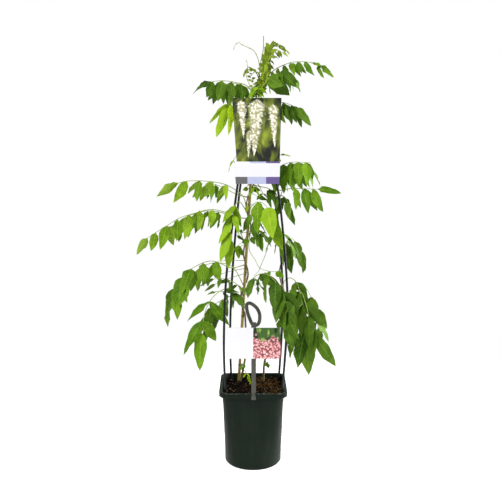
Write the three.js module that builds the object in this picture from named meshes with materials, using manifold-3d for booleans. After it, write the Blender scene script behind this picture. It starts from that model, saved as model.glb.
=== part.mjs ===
// Wisteria in a square-topped nursery pot, climbing a wire-thin plastic trellis and a bamboo cane.
// Millimetres, +Z up, origin at the centre of the pot's underside. The plant faces -Y.
import * as THREE from "three";
import { mergeVertices } from "three/addons/utils/BufferGeometryUtils.js";
import Module from "manifold-3d";

const wasm = await Module();
wasm.setup();

// ---- driving dimensions ------------------------------------------------------------------------

const GAP = 0.35;               // air kept between two pieces that touch

const POT_HEIGHT = 204;
const POT_WALL = 1.6;
const POT_BASE_RADIUS = 72;     // the pot is round at its foot
const POT_NECK = 76.3;          // half width under the rim, where it is nearly square
const RIM_HALF = 85;            // half width over the rim
const RIM_DROP = 12;            // height of the rim's outer skirt
const SQUARE_CORNER = 0.26;     // corner radius at the top, as a share of the half width
const POT_FACETS = 36;
const DRAIN_HOLES = 6;
const DRAIN_RADIUS = 4.5;
const DRAIN_CIRCLE = 46;

const SOIL_TOP = 194;
const SOIL_BUMP = 2.2;

const CANE_RADIUS = 4;
const CANE_FOOT = new THREE.Vector3(-40.7, 56.4, 140);
const CANE_TIP = new THREE.Vector3(2.8, -3.3, 868);

const ROD_RADIUS = 2.9;
const SLEEVE_RADIUS = 4.9;
const SLEEVE_LENGTH = 16;
const SLEEVE_HEIGHT = 752;      // where the legs plug into the trellis crown
const APEX = [10, 0, 900];
const BOSS_RADIUS = 5.2;

const STEM_RADIUS = 2.9;
const STEM_TIP_RADIUS = 0.9;
const TWINE_RADIUS = 7.5;       // axis of the cane to axis of the stem

const STRAP_WIDTH = 11.6;
const STRAP_THICK = 2;
const STRAP_X = 1;
const STRAP_TOP = 381.3;
const LOOP_Y = -84.8;
// The carry loop's centre line, as x and z, and the half width and half depth of its band.
const LOOP = [[-2, 380], [8, 377.5], [14.6, 386], [15.4, 404], [9, 419], [-3, 429.6], [-12, 431.5], [-16, 425],
  [-14, 410], [-9, 395]];
const LOOP_WIDE = 4.2;
const LOOP_DEEP = 2.5;

const SHEET = 0.9;              // thickness of the card and the label
const CARD = { left: -64, right: 66, bottom: 295, top: 372, front: -88.6 };
const LABEL_BOTTOM = 716;
const LABEL_FRONT = -44.5;
const LABEL_LEAN = 0.125;
const LABEL_OUTLINE = [[-42, 0], [63, 0], [65, 50], [64, 54], [68, 207], [-51, 207], [-40, 54], [-46, 50]];

const BLADE = 0.85;             // thickness of a leaflet
const RACHIS_RADIUS = 1.25;
const RACHIS_TIP = 0.75;

// ---- solids ------------------------------------------------------------------------------------

function solidOf(geometry) {
  const bare = geometry.index ? geometry.clone() : geometry;
  bare.deleteAttribute("normal");
  bare.deleteAttribute("uv");
  const merged = mergeVertices(bare, 1e-4);
  const vertProperties = new Float32Array(merged.attributes.position.array);
  const triVerts = new Uint32Array(merged.index.array);
  return new wasm.Manifold(new wasm.Mesh({ numProp: 3, vertProperties, triVerts }));
}

function largestPiece(solid) {
  return solid.decompose().sort((a, b) => b.volume() - a.volume())[0];
}

const union = (solids) => wasm.Manifold.union(solids);

const group = new THREE.Group();
const placed = [];              // every finished solid, with its box, to keep later ones clear of it

function addNode(name, solid, finish) {
  const mesh = solid.getMesh();
  const geometry = new THREE.BufferGeometry();
  geometry.setAttribute("position", new THREE.BufferAttribute(mesh.vertProperties, 3));
  geometry.setIndex(new THREE.BufferAttribute(mesh.triVerts, 1));
  const piece = new THREE.Mesh(geometry, new THREE.MeshStandardMaterial(finish));
  piece.name = name;
  group.add(piece);
  placed.push({ name, solid, box: solid.boundingBox() });
}

function boxSolid(x0, x1, y0, y1, z0, z1) {
  const geometry = new THREE.BoxGeometry(x1 - x0, y1 - y0, z1 - z0);
  geometry.translate((x0 + x1) / 2, (y0 + y1) / 2, (z0 + z1) / 2);
  return solidOf(geometry);
}

function curveThrough(points) {
  const vectors = points.map((p) => (p.isVector3 ? p : new THREE.Vector3(...p)));
  return new THREE.CatmullRomCurve3(vectors, false, "catmullrom", 0.5);
}

// A round bar of `sides` facets along a curve, its radius running from `thick` to `thin`.
function bar(curve, thick, thin, sides, steps) {
  const section = new THREE.Shape();
  for (let i = 0; i < sides; i++) {
    const turn = (2 * Math.PI * i) / sides;
    const x = Math.cos(turn);
    const y = Math.sin(turn);
    if (i === 0) section.moveTo(x, y);
    else section.lineTo(x, y);
  }
  section.closePath();
  const geometry = new THREE.ExtrudeGeometry(section, { steps, extrudePath: curve, curveSegments: 1 });
  const stations = curve.getSpacedPoints(steps);
  const position = geometry.attributes.position;
  const point = new THREE.Vector3();
  for (let i = 0; i < position.count; i++) {
    point.fromBufferAttribute(position, i);
    let nearest = 0;
    stations.forEach((station, k) => {
      if (point.distanceTo(station) < point.distanceTo(stations[nearest])) nearest = k;
    });
    const radius = thick + ((thin - thick) * nearest) / steps;
    point.sub(stations[nearest]).multiplyScalar(radius).add(stations[nearest]);
    position.setXYZ(i, point.x, point.y, point.z);
  }
  return solidOf(geometry);
}

// A number from 0 to 1 that is the same in every run.
function chance(seed, index, channel) {
  const wave = Math.sin(seed * 12.9898 + index * 78.233 + channel * 37.719) * 43758.5453;
  return wave - Math.floor(wave);
}

// ---- pot and soil ------------------------------------------------------------------------------

// Turns the round ring of a lathe into the pot's section: round at the foot, square at the rim.
function squareUp(geometry) {
  const position = geometry.attributes.position;
  for (let i = 0; i < position.count; i++) {
    const x = position.getX(i);
    const y = position.getY(i);
    const z = position.getZ(i);
    const radius = Math.hypot(x, y);
    const turn = Math.atan2(y, x);
    const bearing = turn + 0.16 * Math.sin(4 * turn);
    const rise = Math.min(Math.max(z / POT_HEIGHT, 0), 1);
    const corner = 1 - (1 - SQUARE_CORNER) * rise;
    const reach = radius * squareReach(bearing, corner);
    position.setXYZ(i, reach * Math.cos(bearing), reach * Math.sin(bearing), z);
  }
  return geometry;
}

// Distance from the centre to the edge of a unit square whose corners have the given radius.
function squareReach(bearing, corner) {
  const c = Math.abs(Math.cos(bearing));
  const s = Math.abs(Math.sin(bearing));
  const flat = 1 / Math.max(c, s);
  const middle = 1 - corner;
  if (flat * Math.min(c, s) <= middle) return flat;
  const along = middle * (c + s);
  return along + Math.sqrt(along * along - 2 * middle * middle + corner * corner);
}

function turned(profile) {
  const geometry = new THREE.LatheGeometry(profile.map(([r, z]) => new THREE.Vector2(r, z)), POT_FACETS);
  geometry.rotateX(Math.PI / 2);
  return squareUp(geometry);
}

function makePot() {
  const inner = POT_NECK - POT_WALL;
  const skirt = POT_HEIGHT - RIM_DROP;
  const profile = [
    [0, 0], [POT_BASE_RADIUS - 3.5, 0], [POT_BASE_RADIUS, 4], [74, 90], [POT_NECK, 176], [77.6, skirt],
    [79.2, POT_HEIGHT - POT_WALL], [RIM_HALF - POT_WALL, POT_HEIGHT - POT_WALL],
    [RIM_HALF - POT_WALL, skirt], [RIM_HALF, skirt], [RIM_HALF, POT_HEIGHT - 1], [RIM_HALF - 1, POT_HEIGHT],
    [77.6, POT_HEIGHT], [75.9, skirt], [inner, 176], [72.3, 90], [POT_BASE_RADIUS - POT_WALL, 6], [67, 2.6],
    [0, 2.6],
  ];
  let pot = solidOf(turned(profile));
  for (let i = 0; i < DRAIN_HOLES; i++) {
    const turn = (2 * Math.PI * (i + 0.5)) / DRAIN_HOLES;
    const drill = new THREE.CylinderGeometry(DRAIN_RADIUS, DRAIN_RADIUS, 12, 8);
    drill.rotateX(Math.PI / 2);
    drill.translate(DRAIN_CIRCLE * Math.cos(turn), DRAIN_CIRCLE * Math.sin(turn), 0);
    pot = pot.subtract(solidOf(drill));
  }
  return pot;
}

function makeSoil() {
  const profile = [[74.9, 190], [74.1, 176], [71.8, 90], [69.8, 6.4], [66.3, 3], [0, 3]];
  for (const radius of [66, 52, 38, 24, 12, 0]) profile.unshift([radius, SOIL_TOP]);
  const geometry = turned(profile);
  geometry.index.array.reverse();
  const position = geometry.attributes.position;
  for (let i = 0; i < position.count; i++) {
    const x = position.getX(i);
    const y = position.getY(i);
    if (position.getZ(i) < SOIL_TOP - 1) continue;
    const bump = Math.sin(x * 0.19 + 1) * Math.cos(y * 0.23) + 0.6 * Math.sin(x * 0.43 - y * 0.37);
    position.setZ(i, SOIL_TOP + SOIL_BUMP * bump);
  }
  return solidOf(geometry);
}

// ---- trellis, cane and stems -------------------------------------------------------------------

const RODS = {
  front_left: [[-61, -54, 130], [-69, -61, 215], [-72, -62, 330], [-66, -58, 484], [-49, -46, 629],
    [-36, -37, 725], [-20, -24, 825], [-4, -9, 884], APEX],
  back_left: [[-52, 54, 130], [-58, 60, 206], [-60, 60, 330], [-54, 56, 476], [-40, 44, 640],
    [-30, 36, 725], [-16, 24, 825], [0, 9, 884], APEX],
  back_right: [[62, 54, 130], [70, 60, 214], [77, 59, 350], [76, 56, 476], [63, 45, 620],
    [50, 36, 725], [36, 24, 825], [20, 9, 884], APEX],
  front_right: [[60, -51, 130], [69, -57, 184], [75, -61, 240], [84, -61, 400], [79, -56, 525],
    [67, -46, 650], [56, -37, 725], [40, -24, 825], [24, -9, 884], APEX],
};

// The point of a curve at a given height, for curves that only climb.
function atHeight(curve, height) {
  let low = 0;
  let high = 1;
  for (let i = 0; i < 30; i++) {
    const middle = (low + high) / 2;
    if (curve.getPoint(middle).z < height) low = middle;
    else high = middle;
  }
  return curve.getPoint(low);
}

function stretch(curve, from, to, count) {
  const points = [];
  for (let i = 0; i <= count; i++) points.push(atHeight(curve, from + ((to - from) * i) / count));
  return curveThrough(points);
}

// Points winding round a line, clockwise seen from above as the plant climbs.
function twine(lineAt, from, to, radius, startTurn, turns) {
  const points = [];
  const count = Math.round(turns * 8);
  for (let i = 0; i <= count; i++) {
    const height = from + ((to - from) * i) / count;
    const turn = startTurn - (2 * Math.PI * turns * i) / count;
    const centre = lineAt(height);
    points.push([centre.x + radius * Math.cos(turn), centre.y + radius * Math.sin(turn), height]);
  }
  return points;
}

function caneAt(height) {
  const share = (height - CANE_FOOT.z) / (CANE_TIP.z - CANE_FOOT.z);
  return CANE_FOOT.clone().lerp(CANE_TIP, share);
}

const rodCurves = Object.fromEntries(Object.entries(RODS).map(([k, points]) => [k, curveThrough(points)]));

const STEMS = {
  main: [
    [-34, 46, 160], [-33, 45, 192], [-27, 41, 222], [-21, 37, 258], [-19, 33, 320],
    ...twine(caneAt, 372, 850, TWINE_RADIUS, -0.5, 4),
    [12, -12, 882], [10, -11, 900], [8, -7, 918], [9, -3, 940], [14, 0, 961], [16, 0, 989],
    [19, 0, 1013], [24, 0, 1036], [25, 0, 1069],
  ],
  second: [
    [27, 46, 160], [28, 46, 205], [31, 47, 248], [44, 52, 282], [59, 59, 316], [69, 64, 342],
    ...twine((height) => atHeight(rodCurves.back_right, height), 366, 716, 6.6, 2.31, 2.75),
    [40, 20, 748], [34, 10, 780],
  ],
};

// The point of a stem's route at a given height.
function onStem(route, height) {
  const above = Math.max(1, route.findIndex((point) => point[2] >= height));
  const a = new THREE.Vector3(...route[above - 1]);
  const b = new THREE.Vector3(...route[above]);
  return a.lerp(b, (height - a.z) / (b.z - a.z));
}

// ---- leaflets and fronds -----------------------------------------------------------------------

const UP = new THREE.Vector3(0, 0, 1);
const FRONT = new THREE.Vector3(0, -1, 0);
const RADIANS = Math.PI / 180;

// Ways to swing a leaflet, in degrees out of its row and along its frond. The first that is clear
// of everything already in place is taken.
const SWINGS = [
  [0, 0], [14, 0], [0, 16], [0, -16], [28, 0], [14, 22], [14, -22], [0, 34], [0, -34],
  [42, 0], [28, 30], [28, -30], [56, 12], [-10, 12],
];

// Half width of a leaflet at `s` along it, as a share of its greatest half width. The foot is rounded,
// the widest place comes before the middle, and the tip is drawn out.
function outline(s) {
  const eased = Math.pow(Math.min(Math.max(s, 0), 1), 0.8);
  return Math.pow(Math.sin(Math.PI * eased), 0.7) * (1 - 0.32 * s * s);
}

// A point of a leaflet: `s` along it, `e` across from -1 to 1, `lift` above its middle surface.
function bladePoint(leaf, s, e, lift, spare = 0) {
  const half = leaf.half * outline(s) + spare;
  const ripple = leaf.wave * Math.sin(9 * s + leaf.phase + 1.7 * e) * Math.abs(e);
  const height = half * (leaf.fold * Math.abs(e) + ripple) - leaf.length * leaf.curl * s * s + lift;
  return leaf.root.clone()
    .addScaledVector(leaf.along, leaf.length * s)
    .addScaledVector(leaf.across, half * e)
    .addScaledVector(leaf.normal, height);
}

// A growing mesh. A ring is a list of [vertex, place], its places rising from 0 round to 6:
// 0 left edge above, 1 middle above, 2 right edge above, 3 right below, 4 middle below, 5 left below.
class Skin {
  positions = [];
  triangles = [];

  put(point) {
    this.positions.push(point.x, point.y, point.z);
    return this.positions.length / 3 - 1;
  }

  section(leaf, s, ribbed, thickness, spare = 0) {
    const ring = [];
    const edges = ribbed ? [[-1, 0], [0, 1], [1, 2]] : [[-1, 0], [1, 2]];
    const vertex = (e, lift) => this.put(bladePoint(leaf, s, e, lift, spare));
    for (const [e, place] of edges) ring.push([vertex(e, thickness / 2), place]);
    for (const [e, place] of edges.reverse()) ring.push([vertex(e, -thickness / 2), 5 - place]);
    return ring;
  }

  // Joins two rings with triangles. Above and below the blade are split alike, so that its two
  // faces never cross.
  zip(near, far) {
    const next = (ring, i) => ring[(i + 1) % ring.length][1] + (i + 1 >= ring.length ? 6 : 0);
    let i = 0;
    let j = 0;
    const farSteps = far.length > 1 ? far.length : 0;
    while (i < near.length || j < farSteps) {
      const nearNext = i < near.length ? next(near, i) : Infinity;
      const farNext = j < farSteps ? next(far, j) : Infinity;
      let stepNear = nearNext < farNext;
      if (nearNext === farNext) stepNear = near.length < far.length;
      if (nearNext === farNext && near.length === far.length) stepNear = nearNext <= 2;
      const a = near[i % near.length][0];
      const b = far[j % far.length][0];
      if (stepNear) {
        i += 1;
        this.triangles.push(a, near[i % near.length][0], b);
      } else {
        j += 1;
        this.triangles.push(a, far[j % far.length][0], b);
      }
    }
  }

  // A leaflet grown out of a ring on its stalk.
  leaflet(leaf, base, sections) {
    let ring = base;
    for (const [s, ribbed] of sections) {
      const after = this.section(leaf, s, ribbed, BLADE);
      this.zip(ring, after);
      ring = after;
    }
    this.zip(ring, [[this.put(bladePoint(leaf, 1, 0, 0)), 0]]);
  }

  quad(a, b, c, d) {
    this.triangles.push(a, b, c, a, c, d);
  }

  solid() {
    const vertProperties = new Float32Array(this.positions);
    const triVerts = new Uint32Array(this.triangles);
    return new wasm.Manifold(new wasm.Mesh({ numProp: 3, vertProperties, triVerts }));
  }
}

const TEST_START = 4;           // how far from its stalk a leaflet must be clear of others
const EDGE_ROOM = 0.55;         // air kept beyond a leaflet's edge

// Where the cross-sections of a leaflet lie, and whether each has a rib. Long ones have more.
function sectionsOf(leaf) {
  if (leaf.length > 62) return [[0.18, true], [0.46, true], [0.76, false]];
  if (leaf.length > 36) return [[0.26, true], [0.66, false]];
  return [[0.4, true]];
}

// A leaflet on its own, a little larger than it is built, to test that there is room for it.
function leafletTest(leaf) {
  const skin = new Skin();
  const sectionAt = (s) => skin.section(leaf, s, true, BLADE + 2 * GAP, EDGE_ROOM);
  const first = sectionAt(TEST_START / leaf.length);
  let ring = first;
  for (const s of [0.3, 0.52, 0.78]) {
    const after = sectionAt(s);
    skin.zip(ring, after);
    ring = after;
  }
  skin.zip(ring, [[skin.put(bladePoint(leaf, 1.02, 0, 0)), 0]]);
  const [a, b, c, d, e, f] = first.map(([vertex]) => vertex);
  skin.quad(b, a, f, e);
  skin.quad(c, b, e, d);
  return skin.solid();
}

// Three lengths, for the first, middle and last leaflets, eased between.
function lengthAlong(lengths, share) {
  const [first, middle, last] = lengths;
  return share < 0.5 ? first + (middle - first) * share * 2 : middle + (last - middle) * (share * 2 - 1);
}

// Where along the stalk a pair of leaflets grows. The pair after the last is the end leaflet's.
function pairReach(frond, pair) {
  return pair >= frond.pairs ? 1 : frond.bare + (1 - frond.bare) * ((pair + 0.5) / frond.pairs) * 0.96;
}

// The stalk's place, direction and side at a reach from 0 to 1.
function stalkFrame(frond, curve, reach) {
  const before = curve.getPointAt(Math.max(reach - 0.02, 0));
  const after = curve.getPointAt(Math.min(reach + 0.02, 1));
  const tangent = after.sub(before).normalize();
  const side = tangent.clone().cross(UP).normalize().applyAxisAngle(tangent, frond.roll * RADIANS);
  return { centre: curve.getPointAt(reach), tangent, side };
}

// One leaflet of a frond. `row` is 1 or -1 for the two rows and 0 for the one at the end.
function leafletPose(frond, curve, pair, row, swing) {
  const { seed, pairs, splay, ahead, fall, droop, curl, fold, face } = frond;
  const draw = (channel) => chance(seed, pair * 3 + row + 1, channel) - 0.5;
  const share = row === 0 ? 1 : (pair + 0.5) / pairs;
  const { centre, tangent, side } = stalkFrame(frond, curve, pairReach(frond, pair));
  const along = side.clone().multiplyScalar(row * (splay + 0.3 * draw(1)))
    .addScaledVector(tangent, row === 0 ? 1.2 : ahead * (0.5 + share) + 0.5 * draw(2))
    .addScaledVector(UP, -fall * (row === 0 ? droop : 1))
    .normalize();
  const normal = UP.clone().multiplyScalar(0.7)
    .addScaledVector(side, (row === 0 ? 0.3 : row) * (1 - face))
    .addScaledVector(FRONT, face);
  const outward = row === 0 ? side : tangent;
  const onward = row === 0 ? UP : side;
  for (const vector of [along, normal]) {
    vector.applyAxisAngle(outward, (row === 0 ? 1 : -row) * swing[0] * RADIANS);
    vector.applyAxisAngle(onward, swing[1] * RADIANS);
  }
  normal.addScaledVector(along, -normal.dot(along)).normalize();
  normal.applyAxisAngle(along, (14 + 90 * draw(3)) * (1 - 0.6 * face) * RADIANS * (row || 1));
  const length = lengthAlong(frond.lengths, share) * (1 + 0.22 * draw(4));
  return {
    root: centre, along, normal, length, fold, pair, row,
    across: along.clone().cross(normal),
    half: (length * frond.wide * (1 + 0.16 * draw(5))) / 2,
    curl: curl * (1 + draw(6)),
    wave: 0.2,
    phase: 6.28 * (draw(7) + 0.5),
  };
}

const overlap = (a, b) => [0, 1, 2].every((i) => a.min[i] < b.max[i] && b.min[i] < a.max[i]);

function isClear(test, others) {
  const box = test.boundingBox();
  return others.every((other) => !overlap(box, other.box) || test.intersect(other.solid).isEmpty());
}

function growLeaflets(frond, curve, others) {
  const own = [];
  const leaflets = [];
  const rows = [];
  for (let pair = 0; pair < frond.pairs; pair++) rows.push([pair, 1], [pair, -1]);
  if (frond.end) rows.push([frond.pairs, 0]);
  for (const [pair, row] of rows) {
    for (const swing of SWINGS) {
      const leaf = leafletPose(frond, curve, pair, row, swing);
      const solid = leafletTest(leaf);
      if (!isClear(solid, others) || !isClear(solid, own)) continue;
      leaflets.push(leaf);
      own.push({ solid, box: solid.boundingBox() });
      break;
    }
  }
  return leaflets;
}

const ROOT_HALF = 1.7;          // half the length of stalk that a leaflet grows out of
const STALK_STEP = 26;

// A frond in one skin: a three-cornered stalk, keel down, with its leaflets grown out of its sides.
function frondSolid(frond, curve, leaflets) {
  const length = curve.getLength();
  const halfRoot = ROOT_HALF / length;
  const stations = [{ reach: 0 }];
  const runTo = (reach) => {
    const from = stations[stations.length - 1].reach;
    const count = Math.floor(((reach - from) * length) / STALK_STEP);
    for (let i = 1; i <= count; i++) stations.push({ reach: from + ((reach - from) * i) / (count + 1) });
  };
  for (let pair = 0; pair < frond.pairs; pair++) {
    const reach = pairReach(frond, pair);
    runTo(reach - halfRoot);
    stations.push({ reach: reach - halfRoot, pair }, { reach: reach + halfRoot });
  }
  runTo(1);
  stations.push({ reach: 1 });

  const skin = new Skin();
  for (const station of stations) {
    const { centre, tangent, side } = stalkFrame(frond, curve, station.reach);
    const rise = side.clone().cross(tangent);
    const radius = frond.thick + (RACHIS_TIP - frond.thick) * station.reach;
    const corner = (a, b) =>
      skin.put(centre.clone().addScaledVector(side, a * radius).addScaledVector(rise, b * radius));
    station.left = corner(-0.87, 0.5);
    station.right = corner(0.87, 0.5);
    station.keel = corner(0, -1);
  }
  const leafAt = (pair, row) => leaflets.find((leaf) => leaf.pair === pair && leaf.row === row);
  for (let k = 0; k + 1 < stations.length; k++) {
    const a = stations[k];
    const b = stations[k + 1];
    skin.quad(a.left, a.right, b.right, b.left);
    const rightLeaf = leafAt(a.pair, 1);
    const leftLeaf = leafAt(a.pair, -1);
    if (rightLeaf) {
      skin.leaflet(rightLeaf, [[b.right, 0], [a.right, 2], [a.keel, 3], [b.keel, 5]], sectionsOf(rightLeaf));
    } else {
      skin.quad(a.right, a.keel, b.keel, b.right);
    }
    if (leftLeaf) {
      skin.leaflet(leftLeaf, [[a.left, 0], [b.left, 2], [b.keel, 3], [a.keel, 5]], sectionsOf(leftLeaf));
    } else {
      skin.quad(b.left, b.keel, a.keel, a.left);
    }
  }
  const first = stations[0];
  const last = stations[stations.length - 1];
  skin.triangles.push(first.left, first.keel, first.right);
  const endLeaf = leafAt(frond.pairs, 0);
  if (endLeaf) skin.leaflet(endLeaf, [[last.left, 0], [last.right, 2], [last.keel, 4]], sectionsOf(endLeaf));
  else skin.triangles.push(last.left, last.right, last.keel);
  return skin.solid();
}

const FINISH = {
  deep: { color: 0x35661f, roughness: 0.5 },
  leaf: { color: 0x4b8624, roughness: 0.5 },
  bright: { color: 0x6da32b, roughness: 0.5 },
  pale: { color: 0x9cc832, roughness: 0.5 },
  young: { color: 0x7f9140, roughness: 0.55 },
};

// What a frond has if its entry says nothing else. `roll` turns its rows of leaflets about the stalk,
// and `face` turns their blades to look forward.
const USUAL = {
  stem: "main", bare: 0.3, pairs: 5, lengths: [45, 60, 50], wide: 0.36, splay: 0.45, ahead: 0.25,
  fall: 1, droop: 0.7, roll: 0, face: 0, curl: 0.12, fold: 0.22, end: true, tone: "leaf",
  thick: RACHIS_RADIUS,
};

// Each frond leaves its stem at a height and passes through the listed points.
const FRONDS = [
  { name: "frond_crown_arching", height: 962, bare: 0.52, pairs: 6, lengths: [20, 23, 18], wide: 0.42,
    splay: 0.7, ahead: 0.5, fall: 0.35, droop: 0.4, face: 0.6, tone: "young", via: [[23, 2, 985],
    [33, 3, 1016], [43, 3, 1043], [52, 0, 1052], [64, -4, 1047], [76, -7, 1037]] },
  { name: "frond_crown_small", height: 955, bare: 0.48, pairs: 5, lengths: [22, 27, 22], wide: 0.42,
    splay: 0.75, ahead: 0.5, fall: 0.75, droop: 0.3, face: 0.5, tone: "young", via: [[22, -18, 972],
    [33, -27, 998], [42, -33, 1020], [54, -38, 1030], [66, -41, 1026]] },
  { name: "frond_crown_left_bud", height: 968, bare: 0.3, pairs: 4, lengths: [16, 19, 15], wide: 0.5,
    splay: 0.9, fall: 0.4, face: 0.6, tone: "young", via: [[8, -10, 980], [-2, -17, 990],
    [-13, -22, 993], [-19, -24, 982]] },
  { name: "frond_crown_front", height: 931, bare: 0.35, pairs: 2, lengths: [26, 28, 30], wide: 0.46,
    splay: 0.6, fall: 0.8, face: 0.9, tone: "bright", via: [[8, -16, 936], [9, -25, 944],
    [8, -32, 946]] },
  { name: "frond_crown_bud", height: 936, bare: 0.2, pairs: 7, lengths: [19, 22, 18], wide: 0.56,
    splay: 0.8, ahead: 0.5, fall: 0.2, roll: 90, face: 0.9, tone: "young", via: [[17, -11, 943],
    [25, -14, 958], [30, -14, 978], [35, -15, 1000], [39, -16, 1020], [43, -17, 1038]] },
  { name: "frond_top_right", height: 945, bare: 0.24, pairs: 8, lengths: [30, 40, 36], wide: 0.36,
    splay: 0.55, ahead: 0.6, droop: 0.5, via: [[36, 6, 976], [58, 4, 994], [89, -2, 1006],
    [113, -6, 1008], [136, -10, 1006], [156, -14, 998], [164, -18, 990]] },
  { name: "frond_top_broad", height: 914, bare: 0.3, pairs: 3, lengths: [64, 62, 44], wide: 0.6,
    splay: 0.5, ahead: 0.4, fall: 0.6, tone: "deep", via: [[22, -22, 948], [42, -32, 970],
    [58, -38, 976], [70, -42, 972]] },
  { name: "frond_label_right", height: 890, bare: 0.42, pairs: 3, lengths: [60, 66, 54], wide: 0.38,
    splay: 0.7, tone: "deep", via: [[34, 6, 912], [56, 6, 914], [82, 0, 910], [103, -8, 900]] },
  { name: "frond_top_left", height: 924, bare: 0.3, pairs: 4, lengths: [50, 64, 40], wide: 0.46,
    splay: 0.6, ahead: 0.35, droop: 0.3, tone: "deep", via: [[-15, -6, 951], [-37, -14, 957],
    [-61, -18, 961], [-87, -22, 961], [-110, -28, 955]] },
  { name: "frond_label_left", height: 905, bare: 0.55, pairs: 2, lengths: [66, 74, 78], wide: 0.33,
    splay: 0.35, ahead: 0.1, tone: "pale", via: [[-8, -3, 917], [-30, 2, 919], [-50, -5, 912],
    [-60, -10, 900]] },
  { name: "frond_left_upper", height: 655, bare: 0.34, pairs: 4, lengths: [38, 58, 66], wide: 0.4,
    splay: 0.6, ahead: 0.5, droop: 0.45, tone: "bright", via: [[-25, -3, 684], [-52, -6, 705],
    [-77, -12, 716], [-115, -18, 722], [-154, -26, 723], [-182, -32, 718]] },
  { name: "frond_left_long", height: 628, bare: 0.3, pairs: 6, lengths: [38, 64, 50], wide: 0.44,
    splay: 0.5, tone: "bright", via: [[-40, -4, 632], [-64, -6, 643], [-92, -12, 651], [-116, -18, 651],
    [-143, -24, 644], [-179, -32, 633], [-208, -38, 616], [-239, -44, 597], [-256, -48, 586]] },
  { name: "frond_left_middle", height: 510, bare: 0.3, pairs: 5, lengths: [44, 68, 80], wide: 0.46,
    ahead: 0.05, tone: "leaf", via: [[-53, -6, 505], [-78, -8, 515], [-100, -10, 523], [-120, -14, 521],
    [-137, -18, 514], [-157, -24, 503], [-176, -30, 486], [-193, -38, 462], [-203, -44, 438]] },
  { name: "frond_left_low", height: 420, bare: 0.5, pairs: 2, lengths: [84, 84, 100], wide: 0.34,
    splay: 0.7, fall: 1, roll: -35, face: 0.8, tone: "leaf", via: [[-53, -14, 452], [-75, -24, 453],
    [-97, -34, 439], [-112, -44, 418], [-122, -52, 388], [-127, -60, 352]] },
  { name: "frond_left_inner", height: 430, bare: 0.4, pairs: 3, lengths: [38, 42, 40], wide: 0.28,
    splay: 0.9, fall: 0.5, tone: "deep", via: [[-38, -14, 462], [-58, -20, 476], [-77, -28, 482],
    [-95, -34, 482]] },
  { name: "frond_left_front", height: 402, bare: 0.42, pairs: 3, lengths: [44, 50, 36], wide: 0.44,
    splay: 0.5, ahead: -0.9, fall: 0.7, droop: 0.5, face: 0.6, tone: "deep", via: [[-46, -24, 438],
    [-66, -38, 450], [-86, -50, 454]] },
  { name: "frond_inner_pale", height: 640, bare: 0.44, pairs: 4, lengths: [50, 56, 78], wide: 0.32,
    splay: 0.42, ahead: 0.5, fall: 0.8, droop: 1.2, roll: -35, face: 1, tone: "bright",
    via: [[-30, -35, 670], [-42, -52, 668], [-47, -60, 647], [-52, -66, 619], [-56, -70, 588]] },
  { name: "frond_centre", height: 636, bare: 0.45, pairs: 2, lengths: [78, 88, 84], wide: 0.42,
    splay: 0.28, fall: 1.15, face: 0.4, tone: "bright", via: [[-2, -30, 664], [15, -50, 673],
    [30, -64, 665], [41, -76, 645]] },
  { name: "frond_centre_dark", height: 618, bare: 0.4, pairs: 4, lengths: [50, 58, 50], wide: 0.42,
    splay: 0.6, face: 0.5, tone: "deep", via: [[-6, -18, 640], [0, -30, 636], [8, -38, 617],
    [14, -44, 596]] },
  { name: "frond_right_inner", height: 712, bare: 0.4, pairs: 2, lengths: [38, 42, 38], wide: 0.42,
    splay: 0.6, tone: "deep", via: [[16, 2, 708], [38, 4, 703], [52, 0, 690], [60, -6, 672]] },
  { name: "frond_right_hanging", stem: "second", height: 676, bare: 0.35, pairs: 2,
    lengths: [58, 62, 56], wide: 0.4, splay: 0.5, ahead: 0.1, tone: "deep", via: [[67, 28, 684],
    [76, 16, 683], [84, 4, 674], [89, -4, 660]] },
  { name: "frond_right_upper", stem: "second", height: 718, bare: 0.24, pairs: 5, lengths: [56, 62, 62],
    wide: 0.46, splay: 0.45, ahead: 0.1, end: false, tone: "leaf", via: [[60, 18, 736], [69, 10, 758],
    [91, 2, 767], [115, -4, 768], [142, -10, 766]] },
  { name: "frond_right_fork", stem: "second", height: 697, bare: 0.42, pairs: 3, lengths: [44, 66, 56],
    wide: 0.34, splay: 0.6, ahead: 0.5, fall: 1.2, droop: 0.1, tone: "leaf", via: [[68, 20, 698],
    [90, 10, 702], [118, 2, 703], [145, -4, 702], [160, -8, 702]] },
  { name: "frond_right_middle", stem: "second", height: 545, bare: 0.35, pairs: 3,
    lengths: [58, 66, 60], wide: 0.46, splay: 0.5, tone: "deep", via: [[58, 22, 583], [61, 4, 602],
    [68, -14, 597], [75, -24, 576], [82, -30, 554]] },
  { name: "frond_front_low", height: 427, bare: 0.36, pairs: 7, lengths: [54, 66, 80], wide: 0.46,
    splay: 0.75, tone: "deep", via: [[-13, -30, 456], [-3, -50, 482], [12, -66, 498], [31, -80, 502],
    [50, -92, 489], [66, -100, 464], [76, -106, 430], [81, -110, 396]] },
  { name: "frond_right_low", stem: "second", height: 440, bare: 0.3, pairs: 5, lengths: [52, 84, 94],
    wide: 0.42, splay: 0.6, droop: 1.2, tone: "deep", via: [[80, 24, 466], [94, 8, 477], [107, -4, 470],
    [117, -14, 446], [124, -22, 412], [129, -28, 376], [134, -32, 334]] },
  { name: "frond_right_outer", stem: "second", height: 416, bare: 0.32, pairs: 4, lengths: [56, 74, 80],
    wide: 0.38, splay: 0.6, droop: 2, tone: "deep", via: [[90, 34, 436], [108, 8, 448], [122, -8, 442],
    [132, -20, 415], [142, -30, 376], [157, -38, 336]] },
  { name: "frond_right_hem", stem: "second", height: 345, bare: 0.4, pairs: 3, lengths: [50, 60, 56],
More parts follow.
